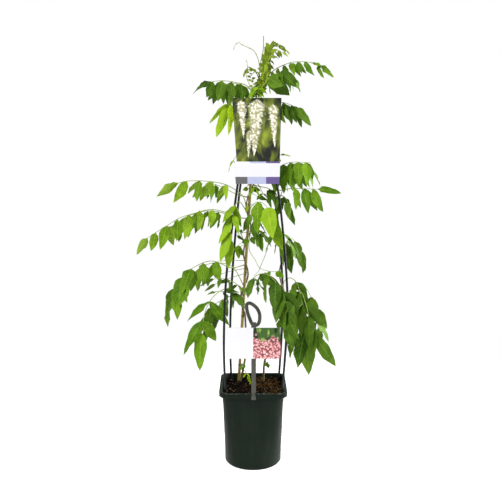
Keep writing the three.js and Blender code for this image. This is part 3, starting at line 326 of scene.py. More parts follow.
# A frond's tone is partly painted light: fronds in shade take the deep tone and fronds in the light the
# bright one.
FRONDS = [
    frond("frond_crown_arching", 962, [(23, 2, 985), (33, 3, 1016), (43, 3, 1043), (52, 0, 1052),
          (64, -4, 1047), (76, -7, 1037)], [20, 23, 18], bare=0.52, pairs=6, splay=0.7, ahead=0.5,
          fall=0.35, droop=0.4, face=0.6, tone="young"),
    frond("frond_crown_small", 955, [(22, -18, 972), (33, -27, 998), (42, -33, 1020), (54, -38, 1030),
          (66, -41, 1026)], [22, 27, 22], bare=0.48, pairs=5, splay=0.75, ahead=0.5, fall=0.75, droop=0.3,
          face=0.5, tone="young"),
    frond("frond_crown_left_bud", 968, [(8, -10, 980), (-2, -17, 990), (-13, -22, 993), (-19, -24, 982)],
          [16, 19, 15], wide=0.5, splay=0.9, fall=0.4, face=0.6, tone="young"),
    frond("frond_crown_front", 931, [(8, -16, 936), (9, -25, 944), (8, -32, 946)], [26, 28, 30],
          bare=0.35, pairs=2, wide=0.46, splay=0.6, fall=0.8, face=0.9, tone="bright"),
    frond("frond_crown_bud", 936, [(17, -11, 943), (25, -14, 958), (30, -14, 978), (35, -15, 1000),
          (39, -16, 1020), (43, -17, 1038)], [19, 22, 18], bare=0.2, pairs=7, wide=0.56, splay=0.8,
          ahead=0.5, fall=0.2, roll=90, face=0.9, tone="young"),
    frond("frond_top_right", 945, [(36, 6, 976), (58, 4, 994), (89, -2, 1006), (113, -6, 1008),
          (136, -10, 1006), (156, -14, 998), (164, -18, 990)], [30, 40, 36], bare=0.24, pairs=8,
          wide=0.36, splay=0.55, ahead=0.6, droop=0.5, tone="leaf"),
    frond("frond_top_broad", 914, [(22, -22, 948), (42, -32, 970), (58, -38, 976), (70, -42, 972)],
          [64, 62, 44], pairs=3, wide=0.6, splay=0.5, ahead=0.4, fall=0.6),
    frond("frond_label_right", 890, [(34, 6, 912), (56, 6, 914), (82, 0, 910), (103, -8, 900)],
          [60, 66, 54], bare=0.42, pairs=3, wide=0.38, splay=0.7),
    frond("frond_top_left", 924, [(-15, -6, 951), (-37, -14, 957), (-61, -18, 961), (-87, -22, 961),
          (-110, -28, 955)], [50, 64, 40], wide=0.46, splay=0.6, ahead=0.35, droop=0.3),
    frond("frond_label_left", 905, [(-8, -3, 917), (-30, 2, 919), (-50, -5, 912), (-60, -10, 900)],
          [66, 74, 78], bare=0.55, pairs=2, wide=0.33, splay=0.35, ahead=0.1, tone="pale"),
    frond("frond_left_upper", 655, [(-25, -3, 684), (-52, -6, 705), (-77, -12, 716), (-115, -18, 722),
          (-154, -26, 723), (-182, -32, 718)], [38, 58, 66], bare=0.34, wide=0.4, splay=0.6, ahead=0.5,
          droop=0.45, tone="bright"),
    frond("frond_left_long", 628, [(-40, -4, 632), (-64, -6, 643), (-92, -12, 651), (-116, -18, 651),
          (-143, -24, 644), (-179, -32, 633), (-208, -38, 616), (-239, -44, 597), (-256, -48, 586)],
          [38, 64, 50], pairs=6, wide=0.44, splay=0.5, tone="bright"),
    frond("frond_left_middle", 510, [(-53, -6, 505), (-78, -8, 515), (-100, -10, 523), (-120, -14, 521),
          (-137, -18, 514), (-157, -24, 503), (-176, -30, 486), (-193, -38, 462), (-203, -44, 438)],
          [44, 68, 80], pairs=5, wide=0.46, ahead=0.05, tone="leaf"),
    frond("frond_left_low", 420, [(-53, -14, 452), (-75, -24, 453), (-97, -34, 439), (-112, -44, 418),
          (-122, -52, 388), (-127, -60, 352)], [84, 84, 100], bare=0.5, pairs=2, wide=0.34, splay=0.7,
          roll=-35, face=0.8, tone="leaf"),
    frond("frond_left_inner", 430, [(-38, -14, 462), (-58, -20, 476), (-77, -28, 482), (-95, -34, 482)],
          [38, 42, 40], bare=0.4, pairs=3, wide=0.28, splay=0.9, fall=0.5),
    frond("frond_left_front", 402, [(-46, -24, 438), (-66, -38, 450), (-86, -50, 454)], [44, 50, 36],
          bare=0.42, pairs=3, wide=0.44, splay=0.5, ahead=-0.9, fall=0.7, droop=0.5, face=0.6),
    frond("frond_inner_pale", 640, [(-30, -35, 670), (-42, -52, 668), (-47, -60, 647), (-52, -66, 619),
          (-56, -70, 588)], [50, 56, 78], bare=0.44, wide=0.32, splay=0.42, ahead=0.5, fall=0.8,
          droop=1.2, roll=-35, face=1, tone="bright"),
    frond("frond_centre", 636, [(-2, -30, 664), (15, -50, 673), (30, -64, 665), (41, -76, 645)],
          [78, 88, 84], bare=0.45, pairs=2, splay=0.28, fall=1.15, face=0.4, tone="bright"),
    frond("frond_centre_dark", 618, [(-6, -18, 640), (0, -30, 636), (8, -38, 617), (14, -44, 596)],
          [50, 58, 50], bare=0.4, splay=0.6, face=0.5),
    frond("frond_right_inner", 712, [(16, 2, 708), (38, 4, 703), (52, 0, 690), (60, -6, 672)],
          [38, 42, 38], bare=0.4, pairs=2, splay=0.6),
    frond("frond_right_hanging", 676, [(67, 28, 684), (76, 16, 683), (84, 4, 674), (89, -4, 660)],
          [58, 62, 56], stem="second", bare=0.35, pairs=2, wide=0.4, splay=0.5, ahead=0.1),
    frond("frond_right_upper", 718, [(60, 18, 736), (69, 10, 758), (91, 2, 767), (115, -4, 768),
          (142, -10, 766)], [56, 62, 62], stem="second", bare=0.24, pairs=5, wide=0.46, ahead=0.1,
          end=False, tone="leaf"),
    frond("frond_right_fork", 697, [(68, 20, 698), (90, 10, 702), (118, 2, 703), (145, -4, 702),
          (160, -8, 702)], [44, 66, 56], stem="second", bare=0.42, pairs=3, wide=0.34, splay=0.6,
          ahead=0.5, fall=1.2, droop=0.1, tone="leaf"),
    frond("frond_right_middle", 545, [(58, 22, 583), (61, 4, 602), (68, -14, 597), (75, -24, 576),
          (82, -30, 554)], [58, 66, 60], stem="second", bare=0.35, pairs=3, wide=0.46, splay=0.5),
    frond("frond_front_low", 427, [(-13, -30, 456), (-3, -50, 482), (12, -66, 498), (31, -80, 502),
          (50, -92, 489), (66, -100, 464), (76, -106, 430), (81, -110, 396)], [54, 66, 80], bare=0.36,
          pairs=7, wide=0.46, splay=0.75),
    frond("frond_right_low", 440, [(80, 24, 466), (94, 8, 477), (107, -4, 470), (117, -14, 446),
          (124, -22, 412), (129, -28, 376), (134, -32, 334)], [52, 84, 94], stem="second", pairs=5,
          splay=0.6, droop=1.2),
    frond("frond_right_outer", 416, [(90, 34, 436), (108, 8, 448), (122, -8, 442), (132, -20, 415),
          (142, -30, 376), (157, -38, 336)], [56, 74, 80], stem="second", bare=0.32, wide=0.38, splay=0.6,
          droop=2),
    frond("frond_right_hem", 345, [(64, 8, 374), (86, -14, 370), (99, -26, 342), (107, -34, 312)],
          [50, 60, 56], stem="second", bare=0.4, pairs=3, wide=0.4, splay=0.7),
    frond("twig_centre", 601, [(-10, -20, 555), (5, -30, 529), (16, -36, 510), (36, -40, 503),
          (54, -44, 502)], [12, 12, 26], bare=0.8, pairs=1, wide=0.7, face=1, tone="leaf", thick=0.9),
    frond("sprig_cane", 742, [(-4, -18, 726), (1, -28, 714), (8, -36, 702)], [20, 24, 22], bare=0.35,
          pairs=2, splay=0.8, fall=0.4, tone="bright"),
    frond("sprig_right", 731, [(16, -16, 708), (24, -24, 692), (33, -34, 681)], [26, 28, 28], bare=0.5,
          pairs=1, splay=0.8, fall=0.4),
    frond("sprout_base", 222, [(-24, 36, 226), (-19, 30, 224), (-14, 25, 216)], [16, 16, 22], bare=0.5,
          pairs=1, wide=0.32, splay=0.6, fall=0.3, droop=1.5, face=0.8, tone="pale"),
    frond("leaf_stub", 250, [(33, 42, 250), (37, 38, 244)], [11, 11, 12], stem="second", bare=0.5,
          pairs=1, wide=0.8, splay=0.7, fall=0.5, face=1, thick=0.9),
    frond("leaf_low", 240, [(-23, 33, 246), (-28, 29, 240)], [12, 12, 12], bare=0.5, pairs=1, wide=0.8,
          splay=0.8, fall=0.4, face=1, tone="leaf", thick=0.9),
    frond("leaf_label_left", 781, [(-22, 4, 790), (-40, -12, 784), (-53, -22, 764)], [18, 20, 24],
          bare=0.7, pairs=1, wide=0.3, splay=0.7, fall=0.5, tone="pale", thick=0.9),
    frond("leaf_label_right", 721, [(14, 4, 742), (40, 2, 778), (66, -6, 786)], [24, 26, 30], bare=0.75,
          pairs=1, wide=0.4, splay=0.6, fall=0.5, tone="bright", thick=0.9),
    frond("frond_back_upper_left", 680, [(-43, 30, 688), (-75, 66, 702), (-107, 98, 711),
          (-135, 124, 702)], [40, 48, 42], bare=0.4, pairs=3, tone="leaf"),
    frond("frond_back_left", 560, [(-42, 24, 612), (-69, 34, 637), (-122, 72, 642), (-175, 106, 624),
          (-218, 132, 597)], [42, 60, 50], bare=0.36, pairs=5, tone="leaf"),
    frond("frond_back_low_left", 450, [(-52, 42, 499), (-94, 66, 507), (-132, 92, 494), (-164, 116, 466),
          (-187, 130, 431)], [46, 66, 60], bare=0.38, tone="leaf"),
    frond("frond_back_low", 405, [(-42, 64, 418), (-66, 84, 412), (-109, 98, 382), (-124, 108, 331)],
          [56, 72, 68], bare=0.4, pairs=3),
    frond("frond_back_upper_right", 660, [(80, 64, 707), (104, 88, 740), (131, 108, 752),
          (157, 124, 742)], [42, 54, 48], stem="second", bare=0.36, tone="leaf"),
    frond("frond_back_right", 520, [(84, 70, 553), (98, 90, 569), (115, 110, 554), (127, 126, 516)],
          [50, 62, 54], stem="second", pairs=3),
    frond("frond_back_low_right", 394, [(90, 64, 416), (105, 74, 440), (123, 90, 444), (147, 106, 426),
          (169, 122, 374), (179, 132, 316)], [54, 72, 66], stem="second", bare=0.36),
    frond("frond_back_top_right", 941, [(37, 30, 969), (60, 58, 989), (84, 82, 992), (105, 102, 980)],
          [40, 48, 40]),
    frond("frond_back_top_left", 930, [(-13, 26, 949), (-38, 56, 962), (-69, 82, 965), (-95, 100, 954)],
          [40, 50, 42]),
]
FRONDS = [{**leaf, "seed": index + 1} for index, leaf in enumerate(FRONDS)]

# ---- mesh building -------------------------------------------------------------------------------


def verts_of(made):
    return [part for part in made["geom"] if isinstance(part, bmesh.types.BMVert)]


def new_mesh(name, part):
    """Makes a mesh of a finished part."""
    mesh = bpy.data.meshes.new(name)
    part.to_mesh(mesh)
    part.free()
    return mesh


def place_object(name, data):
    """Puts a new object in the scene."""
    made = bpy.data.objects.new(name, data)
    bpy.context.scene.collection.objects.link(made)
    return made


def absorb(whole, part, material=None):
    """Moves a finished part into a larger mesh, all of it in one material where one is given."""
    if material is not None:
        for face in part.faces:
            face.material_index = material
    carrier = new_mesh("carrier", part)
    whole.from_mesh(carrier)
    bpy.data.meshes.remove(carrier)


def places_along(centres):
    """A place at each centre with its Z along the line, turned no more than the line bends."""
    last = len(centres) - 1
    headings = [(centres[min(i + 1, last)] - centres[max(i - 1, 0)]).normalized()
                for i in range(last + 1)]
    turn = headings[0].to_track_quat("Z", "Y")
    places = []
    for i, (centre, heading) in enumerate(zip(centres, headings)):
        if i:
            turn = headings[i - 1].rotation_difference(heading) @ turn
        places.append(Matrix.Translation(centre) @ turn.to_matrix().to_4x4())
    return places


def bar(whole, centres, radii, sides, material=0):
    """Adds a closed round bar through the centres, with a radius for each."""
    part = bmesh.new()
    steps = [place @ Matrix.Diagonal((radius, radius, radius, 1))
             for place, radius in zip(places_along(centres), radii)]
    bmesh.ops.create_circle(part, cap_ends=True, segments=sides, radius=1, matrix=steps[0])
    part.faces.ensure_lookup_table()
    cap = part.faces[0]
    for near, far in zip(steps, steps[1:]):
        made = bmesh.ops.extrude_face_region(part, geom=[cap])
        bmesh.ops.transform(part, matrix=far @ near.inverted(), verts=verts_of(made))
        cap = next(face for face in made["geom"] if isinstance(face, bmesh.types.BMFace))
    bmesh.ops.recalc_face_normals(part, faces=part.faces[:])
    absorb(whole, part, material)


def block(whole, low, high, edge):
    """Adds a box between two corners with its edges rounded off."""
    part = bmesh.new()
    low, high = Vector(low), Vector(high)
    size = high - low
    bmesh.ops.create_cube(part, size=1, matrix=Matrix.Translation((low + high) / 2)
                          @ Matrix.Diagonal((*size, 1)))
    bmesh.ops.bevel(part, geom=part.edges[:], offset=edge, offset_type="OFFSET", segments=3,
                    profile=0.5, affect="EDGES", material=-1)
    absorb(whole, part)


def turned(profile, segments):
    """A solid of revolution from a profile of radius and height pairs."""
    part = bmesh.new()
    corners = [part.verts.new((radius, 0, height)) for radius, height in profile]
    edges = [part.edges.new(pair) for pair in zip(corners, corners[1:])]
    bmesh.ops.spin(part, geom=corners + edges, cent=(0, 0, 0), axis=UP, angle=AROUND,
                   steps=segments, use_merge=True)
    bmesh.ops.remove_doubles(part, verts=part.verts[:], dist=1e-3)
    bmesh.ops.recalc_face_normals(part, faces=part.faces[:])
    return part


def square_reach(bearing, corner):
    """Distance from the centre to the edge of a unit square whose corners have a radius."""
    c, s = abs(math.cos(bearing)), abs(math.sin(bearing))
    flat = 1 / max(c, s)
    middle = 1 - corner
    if flat * min(c, s) <= middle:
        return flat
    along = middle * (c + s)
    return along + math.sqrt(along * along - 2 * middle * middle + corner * corner)


def square_up(part):
    """Turns round rings into the pot's section: round at the foot, square at the rim."""
    for vert in part.verts:
        radius = math.hypot(vert.co.x, vert.co.y)
        turn = math.atan2(vert.co.y, vert.co.x)
        bearing = turn + CORNER_CROWDING * math.sin(4 * turn)
        rise = min(max(vert.co.z / POT_HEIGHT, 0), 1)
        reach = radius * square_reach(bearing, 1 - (1 - SQUARE_CORNER) * rise)
        vert.co.x = reach * math.cos(bearing)
        vert.co.y = reach * math.sin(bearing)


def round_edges(part, angle, offset, segments):
    """Rounds every edge that is sharper than the angle, in degrees."""
    sharp = [edge for edge in part.edges if edge.calc_face_angle(0) > math.radians(angle)]
    bmesh.ops.bevel(part, geom=sharp, offset=offset, offset_type="OFFSET", segments=segments,
                    profile=0.5, affect="EDGES", material=-1, clamp_overlap=True)


def finish_piece(name, whole, materials, replaces=(), crease=40):
    """Makes the object of a piece, in metres, with its finish and its place in the frame.

    Edges that bend by more than the crease, in degrees, are sharp.
    """
    bmesh.ops.scale(whole, vec=(MM, MM, MM), verts=whole.verts[:])
    for face in whole.faces:
        face.smooth = True
    mesh = new_mesh(name, whole)
    mesh.set_sharp_from_angle(angle=math.radians(crease))
    for material in materials:
        mesh.materials.append(material)
    piece = place_object(name, mesh)
    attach(piece, "root")
    if replaces:
        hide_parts(*replaces)
    return piece


def dress(node, material):
    """Gives a carried-over solid its finish."""
    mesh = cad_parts[node].data
    mesh.materials.clear()
    mesh.materials.append(material)


# ---- node trees ----------------------------------------------------------------------------------


class Graph:
    """Short words for building a node tree."""

    def __init__(self, tree):
        self.tree = tree

    def add(self, kind, inputs=None, **settings):
        node = self.tree.nodes.new(kind)
        for name, value in settings.items():
            setattr(node, name, value)
        for socket, value in (inputs or {}).items():
            self.feed(node.inputs[socket], value)
        return node

    def feed(self, socket, value):
        if isinstance(value, bpy.types.NodeSocket):
            self.tree.links.new(value, socket)
        else:
            socket.default_value = value

    def give(self, sockets, **values):
        """Feeds sockets by name, with _ for each space."""
        for name, value in values.items():
            self.feed(sockets[name.replace("_", " ")], value)

    def math(self, operation, a, b=0.0, clamp=False):
        node = self.add("ShaderNodeMath", {0: a, 1: b}, operation=operation, use_clamp=clamp)
        return node.outputs[0]

    def plus(self, a, b, clamp=False):
        return self.math("ADD", a, b, clamp)

    def minus(self, a, b, clamp=False):
        return self.math("SUBTRACT", a, b, clamp)

    def times(self, a, b, clamp=False):
        return self.math("MULTIPLY", a, b, clamp)

    def rise(self, value, low, high, start=0.0, end=1.0):
        """Goes from `start` to `end`, eased, while the value goes from `low` to `high`."""
        node = self.add("ShaderNodeMapRange", {0: value, 1: low, 2: high, 3: start, 4: end},
                        interpolation_type="SMOOTHSTEP")
        return node.outputs[0]

    def fall(self, value, low, high, end=0.0):
        """Goes from 1 down to `end`, eased, while the value goes from `low` to `high`."""
        return self.rise(value, low, high, 1.0, end)

    def mix(self, share, a, b):
        return self.add("ShaderNodeMix", {0: share, 6: a, 7: b}, data_type="RGBA").outputs[2]

    def noise(self, place, scale, detail=3.0, roughness=0.55, distortion=0.0):
        node = self.add("ShaderNodeTexNoise", {"Vector": place, "Scale": scale, "Detail": detail,
                                               "Roughness": roughness, "Distortion": distortion})
        return node.outputs[0]

    def cells(self, place, scale, feature="F1"):
        return self.add("ShaderNodeTexVoronoi", {"Vector": place, "Scale": scale},
                        feature=feature).outputs

    def stretch(self, place, scale, turn=(0, 0, 0)):
        return self.add("ShaderNodeMapping", {"Vector": place, "Scale": scale,
                                              "Rotation": turn}).outputs[0]

    def parts(self, vector):
        return self.add("ShaderNodeSeparateXYZ", {0: vector}).outputs

    def away(self, value, middle):
        """How far a value is from the middle one."""
        return self.math("ABSOLUTE", self.minus(value, middle))

    def facing(self):
        return self.parts(self.add("ShaderNodeNewGeometry").outputs["Normal"])

    def object_place(self):
        return self.add("ShaderNodeTexCoord").outputs["Object"]

    def mottle(self, place, scale):
        return self.group("Mottle", {"Place": place, "Scale": scale})

    def attribute(self, name):
        return self.add("ShaderNodeAttribute", attribute_name=name).outputs["Fac"]

    def group(self, name, inputs=None):
        node = self.add("ShaderNodeGroup", node_tree=bpy.data.node_groups[name])
        for socket, value in (inputs or {}).items():
            self.feed(node.inputs[socket], value)
        return node.outputs


KINDS = {"float": "NodeSocketFloat", "colour": "NodeSocketColor", "vector": "NodeSocketVector"}


def new_group(name, inputs, outputs):
    """A shader group with named sockets. Returns its graph, what comes in and where it goes out."""
    tree = bpy.data.node_groups.new(name, "ShaderNodeTree")
    for label, kind in inputs.items():
        tree.interface.new_socket(name=label, in_out="INPUT", socket_type=KINDS[kind])
    for label, kind in outputs.items():
        tree.interface.new_socket(name=label, in_out="OUTPUT", socket_type=KINDS[kind])
    graph = Graph(tree)
    entry = graph.add("NodeGroupInput")
    leave = graph.add("NodeGroupOutput")
    return graph, entry.outputs, leave.inputs


def new_material(name, **constants):
    """A material with its shader. The constants are set on the shader's own sockets."""
    material = bpy.data.materials.new(name)
    material.use_nodes = True
    graph = Graph(material.node_tree)
    shader = material.node_tree.nodes["Principled BSDF"].inputs
    graph.give(shader, **constants)
    return material, graph, shader


def coat(graph, shader, colour, roughness, height, strength, depth):
    """Gives a surface its colour, its roughness and a relief. The depth is in millimetres."""
    bump = graph.add("ShaderNodeBump", {"Height": height, "Strength": strength, "Distance": depth * MM})
    graph.give(shader, Base_Color=colour, Roughness=roughness, Normal=bump.outputs[0])


def group_mottle():
    """Soft patches with finer grain in them, from 0 to 1."""
    graph, source, goal = new_group("Mottle", {"Place": "vector", "Scale": "float"},
                                    {"Patches": "float", "Grain": "float"})
    fine = graph.times(source["Scale"], 7.0)
    graph.give(goal, Patches=graph.rise(graph.noise(source["Place"], source["Scale"]), 0.3, 0.7),
               Grain=graph.noise(source["Place"], fine, detail=4.0, roughness=0.65))


def group_moulding():
    """Moulded plastic: a fine satin grain, dull patches, and where it faces up dust and a painted
    highlight.
    """
    graph, source, goal = new_group(
        "Moulding", {"Colour": "colour", "Worn": "colour", "Dust": "colour", "Satin": "float"},
        {"Colour": "colour", "Roughness": "float", "Height": "float"})
    place = graph.object_place()
    mottle = graph.mottle(place, 14.0)
    streaks = graph.noise(graph.stretch(place, (90, 90, 5)), 1.0, detail=2.0)
    worn = graph.times(mottle["Patches"], graph.rise(streaks, 0.35, 0.8))
    colour = graph.mix(worn, source["Colour"], source["Worn"])
    # Painted highlight: faces that look up turn towards the dust colour, partly dust and partly the light
    # that falls on them.
    upward = graph.rise(graph.facing()[2], 0.3, 0.95)
    dusty_and_lit = graph.times(upward, graph.rise(mottle["Grain"], 0.45, 0.7))
    dull = graph.times(graph.plus(worn, dusty_and_lit), 0.16)
    graph.give(goal, Colour=graph.mix(dusty_and_lit, colour, source["Dust"]),
               Roughness=graph.plus(source["Satin"], dull), Height=mottle["Grain"])


def group_veins():
    """A leaflet's veins from its own map: a midrib, arched side veins and a fine net between."""
    graph, source, goal = new_group("Veins", {"Blade": "vector", "Pairs": "float"},
                                    {"Midrib": "float", "Side": "float", "Relief": "float"})
    u, v, _ = graph.parts(source["Blade"])
    across = graph.times(graph.away(u, 0.5), 2.0)
    midrib = graph.fall(across, 0.02, 0.1)
    arched = graph.times(graph.math("POWER", across, 1.4), 0.16)
    away = graph.math("PINGPONG", graph.times(graph.minus(v, arched), source["Pairs"]), 0.5)
    side = graph.times(graph.fall(away, 0.03, 0.16), graph.fall(across, 0.75, 1.0, 0.2))
    net = graph.cells(graph.stretch(source["Blade"], (9, 30, 1)), 1.0, "DISTANCE_TO_EDGE")
    puffed = graph.times(graph.rise(net[0], 0.0, 0.25), 0.25)
    swell = graph.times(graph.rise(away, 0.0, 0.5), 0.75)
    relief = graph.minus(graph.plus(swell, puffed), midrib)
    graph.give(goal, Midrib=midrib, Side=side, Relief=relief)


def group_leaf():
    """The whole finish of a leaflet but its shader."""
    graph, source, goal = new_group(
        "Leaf", {"Shade": "colour", "Light": "colour", "Vein": "colour", "Back": "colour"},
        {"Colour": "colour", "Roughness": "float", "Height": "float"})
    blade = graph.add("ShaderNodeUVMap", uv_map="blade").outputs[0]
    veins = graph.group("Veins", {"Blade": blade, "Pairs": 8.0})
    mottle = graph.mottle(graph.object_place(), 55.0)
    tone = graph.plus(graph.attribute("tone"), 0.5)
    patches = graph.times(graph.minus(mottle["Patches"], 0.5), 0.5)
    share = graph.plus(tone, patches, clamp=True)
    colour = graph.mix(share, source["Shade"], source["Light"])
    u, v, _ = graph.parts(blade)
    edge = graph.rise(graph.away(u, 0.5), 0.42, 0.5)
    tip = graph.rise(v, 0.8, 1.0)
    young = graph.times(graph.math("MAXIMUM", edge, tip), 0.3)
    colour = graph.mix(young, colour, source["Light"])
    colour = graph.mix(graph.times(veins["Side"], 0.12), colour, source["Vein"])
    colour = graph.mix(graph.times(veins["Midrib"], 0.38), colour, source["Vein"])
    under = graph.attribute("underside")
    colour = graph.mix(graph.times(under, 0.6), colour, source["Back"])
    grain = graph.times(mottle["Grain"], 0.12)
    rough = graph.plus(graph.plus(0.46, grain), graph.times(under, 0.25))
    height = graph.plus(veins["Relief"], graph.times(grain, 0.8))
    graph.give(goal, Colour=colour, Roughness=rough, Height=height)


def group_raceme():
    """A hanging flower cluster, on a sheet seen from the front: wide above, narrowing to its tip."""
    graph, source, goal = new_group(
        "Raceme", {"Place": "vector", "Left": "float", "Top": "float", "Length": "float",
                   "Width": "float", "Slant": "float"}, {"Mask": "float"})
    x, _, z = graph.parts(source["Place"])
    down = graph.math("DIVIDE", graph.minus(source["Top"], z), source["Length"])
    away = graph.away(x, graph.plus(source["Left"], graph.times(down, source["Slant"])))
    narrow = graph.math("POWER", graph.minus(1.02, down, clamp=True), 0.75)
    room = graph.times(graph.times(narrow, graph.rise(down, 0.0, 0.14)), source["Width"])
    share = graph.math("DIVIDE", away, graph.math("MAXIMUM", room, 0.5))
    ragged = graph.times(graph.noise(source["Place"], 0.22, detail=2.0), 1.5)
    body = graph.fall(graph.plus(share, ragged), 1.2, 1.75)
    inside = graph.times(graph.rise(down, 0.0, 0.04), graph.fall(down, 1.0, 1.04))
    graph.feed(goal["Mask"], graph.times(body, inside))


def group_petals():
    """Crowded petals on a printed sheet: lit lobes with shadow between them."""
    graph, source, goal = new_group(
        "Petals", {"Place": "vector", "Size": "float", "Lit": "colour", "Mid": "colour",
                   "Shadow": "colour"}, {"Colour": "colour"})
    scale = graph.math("DIVIDE", 1.0, source["Size"])
    bend = graph.noise(source["Place"], 0.12, detail=2.0)
    shift = graph.add("ShaderNodeCombineXYZ", {0: graph.times(bend, 9.0), 2: graph.times(bend, -6.0)})
    place = graph.add("ShaderNodeVectorMath", {0: source["Place"], 1: shift.outputs[0]}).outputs[0]
    cells = graph.cells(place, scale)
    lobe = graph.fall(cells["Distance"], 0.32, 0.72)
    colour = graph.mix(graph.parts(cells["Color"])[0], source["Mid"], source["Lit"])
    graph.feed(goal["Colour"], graph.mix(lobe, source["Shadow"], colour))


def group_greenery():
    """Blurred leaves in the back of a printed picture."""
    graph, source, goal = new_group(
        "Greenery", {"Place": "vector", "Size": "float", "Dark": "colour", "Green": "colour",
                     "Bright": "colour"}, {"Colour": "colour"})
    scale = graph.math("DIVIDE", 1.0, source["Size"])
    slanted = graph.stretch(source["Place"], (1.0, 1.0, 0.45), turn=(0, 0.4, 0))
    wide = graph.noise(slanted, scale, detail=2.0, distortion=0.6)
    blades = graph.cells(slanted, graph.times(scale, 2.2), "SMOOTH_F1")
    colour = graph.mix(graph.rise(wide, 0.38, 0.6), source["Dark"], source["Green"])
    lit = graph.times(graph.fall(blades["Distance"], 0.1, 0.55), graph.rise(wide, 0.45, 0.65))
    graph.feed(goal["Colour"], graph.mix(lit, colour, source["Bright"]))


# ---- settings ------------------------------------------------------------------------------------


def colour(code):
    """A screen colour such as 4b8624 as linear red, green, blue and alpha."""
    channels = [int(code[i:i + 2], 16) / 255 for i in (0, 2, 4)]
    return tuple(c / 12.92 if c <= 0.04045 else ((c + 0.055) / 1.055) ** 2.4 for c in channels) + (1.0,)


def colour_setting(name, description, code):
    return FloatVectorProperty(name=name, description=description, default=colour(code),
                               subtype="COLOR", size=4, min=0.0, max=1.0)


class WISTERIA_PG_pot(bpy.types.PropertyGroup):
    """The pot, its soil and the strap."""

    segments: IntProperty(name="Segments", description="Steps round the pot", default=144, min=36)
    edge: FloatProperty(name="Rim edge", description="Rounding of the rim's edges, in millimetres",
                        default=0.7, min=0.1, max=1.0)
    crumbs: IntProperty(name="Crumbs", description="Loose crumbs on the soil", default=1500, min=0)
    satin: FloatProperty(name="Satin", description="Roughness of the pot's plastic", default=0.44,
                         min=0.0, max=1.0, subtype="FACTOR")
    plastic: colour_setting("Plastic", "The pot's plastic", "131b15")
    worn: colour_setting("Rubbed plastic", "Where the pot is rubbed", "1b231d")
    # Dust on the rim, light enough to paint the highlight along the rim's top as well.
    dust_and_highlight: colour_setting("Dust", "Dust on the rim", "626a60")
    strap: colour_setting("Strap", "The carry strap's plastic", "3f403a")
    strap_worn: colour_setting("Rubbed strap", "Where the strap is rubbed", "5a5a52")
    soil_damp: colour_setting("Damp soil", "Soil in the hollows", "060302")
    soil: colour_setting("Soil", "The body of the soil", "110a05")
    soil_dry: colour_setting("Dry soil", "Crumbs that have dried", "3a2612")
    bark_chip: colour_setting("Bark chips", "Chips of bark in the soil", "6e5029")
    fibre: colour_setting("Fibres", "Pale fibres in the soil", "8a6a42")


class WISTERIA_PG_frame(bpy.types.PropertyGroup):
    """The trellis and the cane."""

    rod_sides: IntProperty(name="Rod sides", description="Sides of a trellis rod", default=14, min=6)
    trellis: colour_setting("Trellis", "The trellis plastic", "0f1112")
    trellis_worn: colour_setting("Rubbed trellis", "Where the trellis is rubbed", "2b2e2d")
    cane: colour_setting("Cane", "The cane's skin", "7e6824")
    cane_pale: colour_setting("Pale cane", "Bleached skin", "a08e4e")
    cane_mark: colour_setting("Cane marks", "Brown marks at the joints", "4c421c")


class WISTERIA_PG_plant(bpy.types.PropertyGroup):
    """The stems and leaves."""

    blade: FloatProperty(name="Leaf thickness", description="Thickness of a leaflet, in millimetres",
                         default=0.6, min=0.2, max=0.85)
    bark: colour_setting("Bark", "Bark of the old wood", "5c4a2e")
    bark_green: colour_setting("Green bark", "Bark of this year's growth", "74822f")
    bark_dark: colour_setting("Bark cracks", "Cracks in the bark", "2f2415")
    lenticel: colour_setting("Lenticels", "Pale pores in the bark", "a08a5e")
    stalk: colour_setting("Leaf stalks", "Stalks of the leaves", "86a03a")
    stalk_base: colour_setting("Stalk base", "Where a stalk leaves its stem", "6d6a2c")
    bud: colour_setting("Buds", "Buds beside the stalks", "7a6a3a")


class WISTERIA_PG_prints(bpy.types.PropertyGroup):
    """The card and the label."""

    sheet: colour_setting("Sheet", "The bare plastic sheet", "dad9e0")
    band: colour_setting("Band", "Pale band of the label", "a9afce")
    band_strong: colour_setting("Strong band", "Strong band of the label", "5f4f86")
    band_grey: colour_setting("Grey band", "Grey band of the label", "5b5b5e")
    night: colour_setting("Picture shade", "Darkest part of the pictures", "080e08")
    green: colour_setting("Picture green", "Leaves in the pictures", "64721a")
    green_bright: colour_setting("Picture light", "Lit leaves in the pictures", "9aa528")
    white_flower: colour_setting("White flowers", "Flowers on the label", "f7f4ea")
    pink_flower: colour_setting("Pink flowers", "Flowers on the card", "d98488")


class WISTERIA_PG_stage(bpy.types.PropertyGroup):
    """The floor, the lights and the camera."""

    floor_size: FloatProperty(name="Floor", description="Length of the floor's side", default=30.0,
                              min=1.0, subtype="DISTANCE", unit="LENGTH")
    surround: FloatProperty(name="Surround", description="Strength of the light from all round",
                            default=0.4, min=0.0)
    key: FloatProperty(name="Key light", description="Power of the main light in watts",
                       default=80.0, min=0.0)
    fill: FloatProperty(name="Fill light", description="Power of the fill light in watts",
                        default=16.0, min=0.0)
    rim: FloatProperty(name="Rim light", description="Power of the light behind in watts",
                       default=105.0, min=0.0)
    lens: FloatProperty(name="Lens", description="Focal length on a 36 mm sensor in millimetres",
                        default=48.96, min=10.0)
    distance: FloatProperty(name="Distance", description="From the camera to the pot's axis",
                            default=1.69, min=0.5, subtype="DISTANCE", unit="LENGTH")
    height: FloatProperty(name="Height", description="Camera above the floor", default=0.775,
                          min=0.0, subtype="DISTANCE", unit="LENGTH")
    aside: FloatProperty(name="Aside", description="Camera to the right of the pot's axis",
                         default=-0.0078, subtype="DISTANCE", unit="LENGTH")
    tilt: FloatProperty(name="Tilt", description="How far the camera looks down",
                        default=math.radians(7.6), subtype="ANGLE", unit="ROTATION")


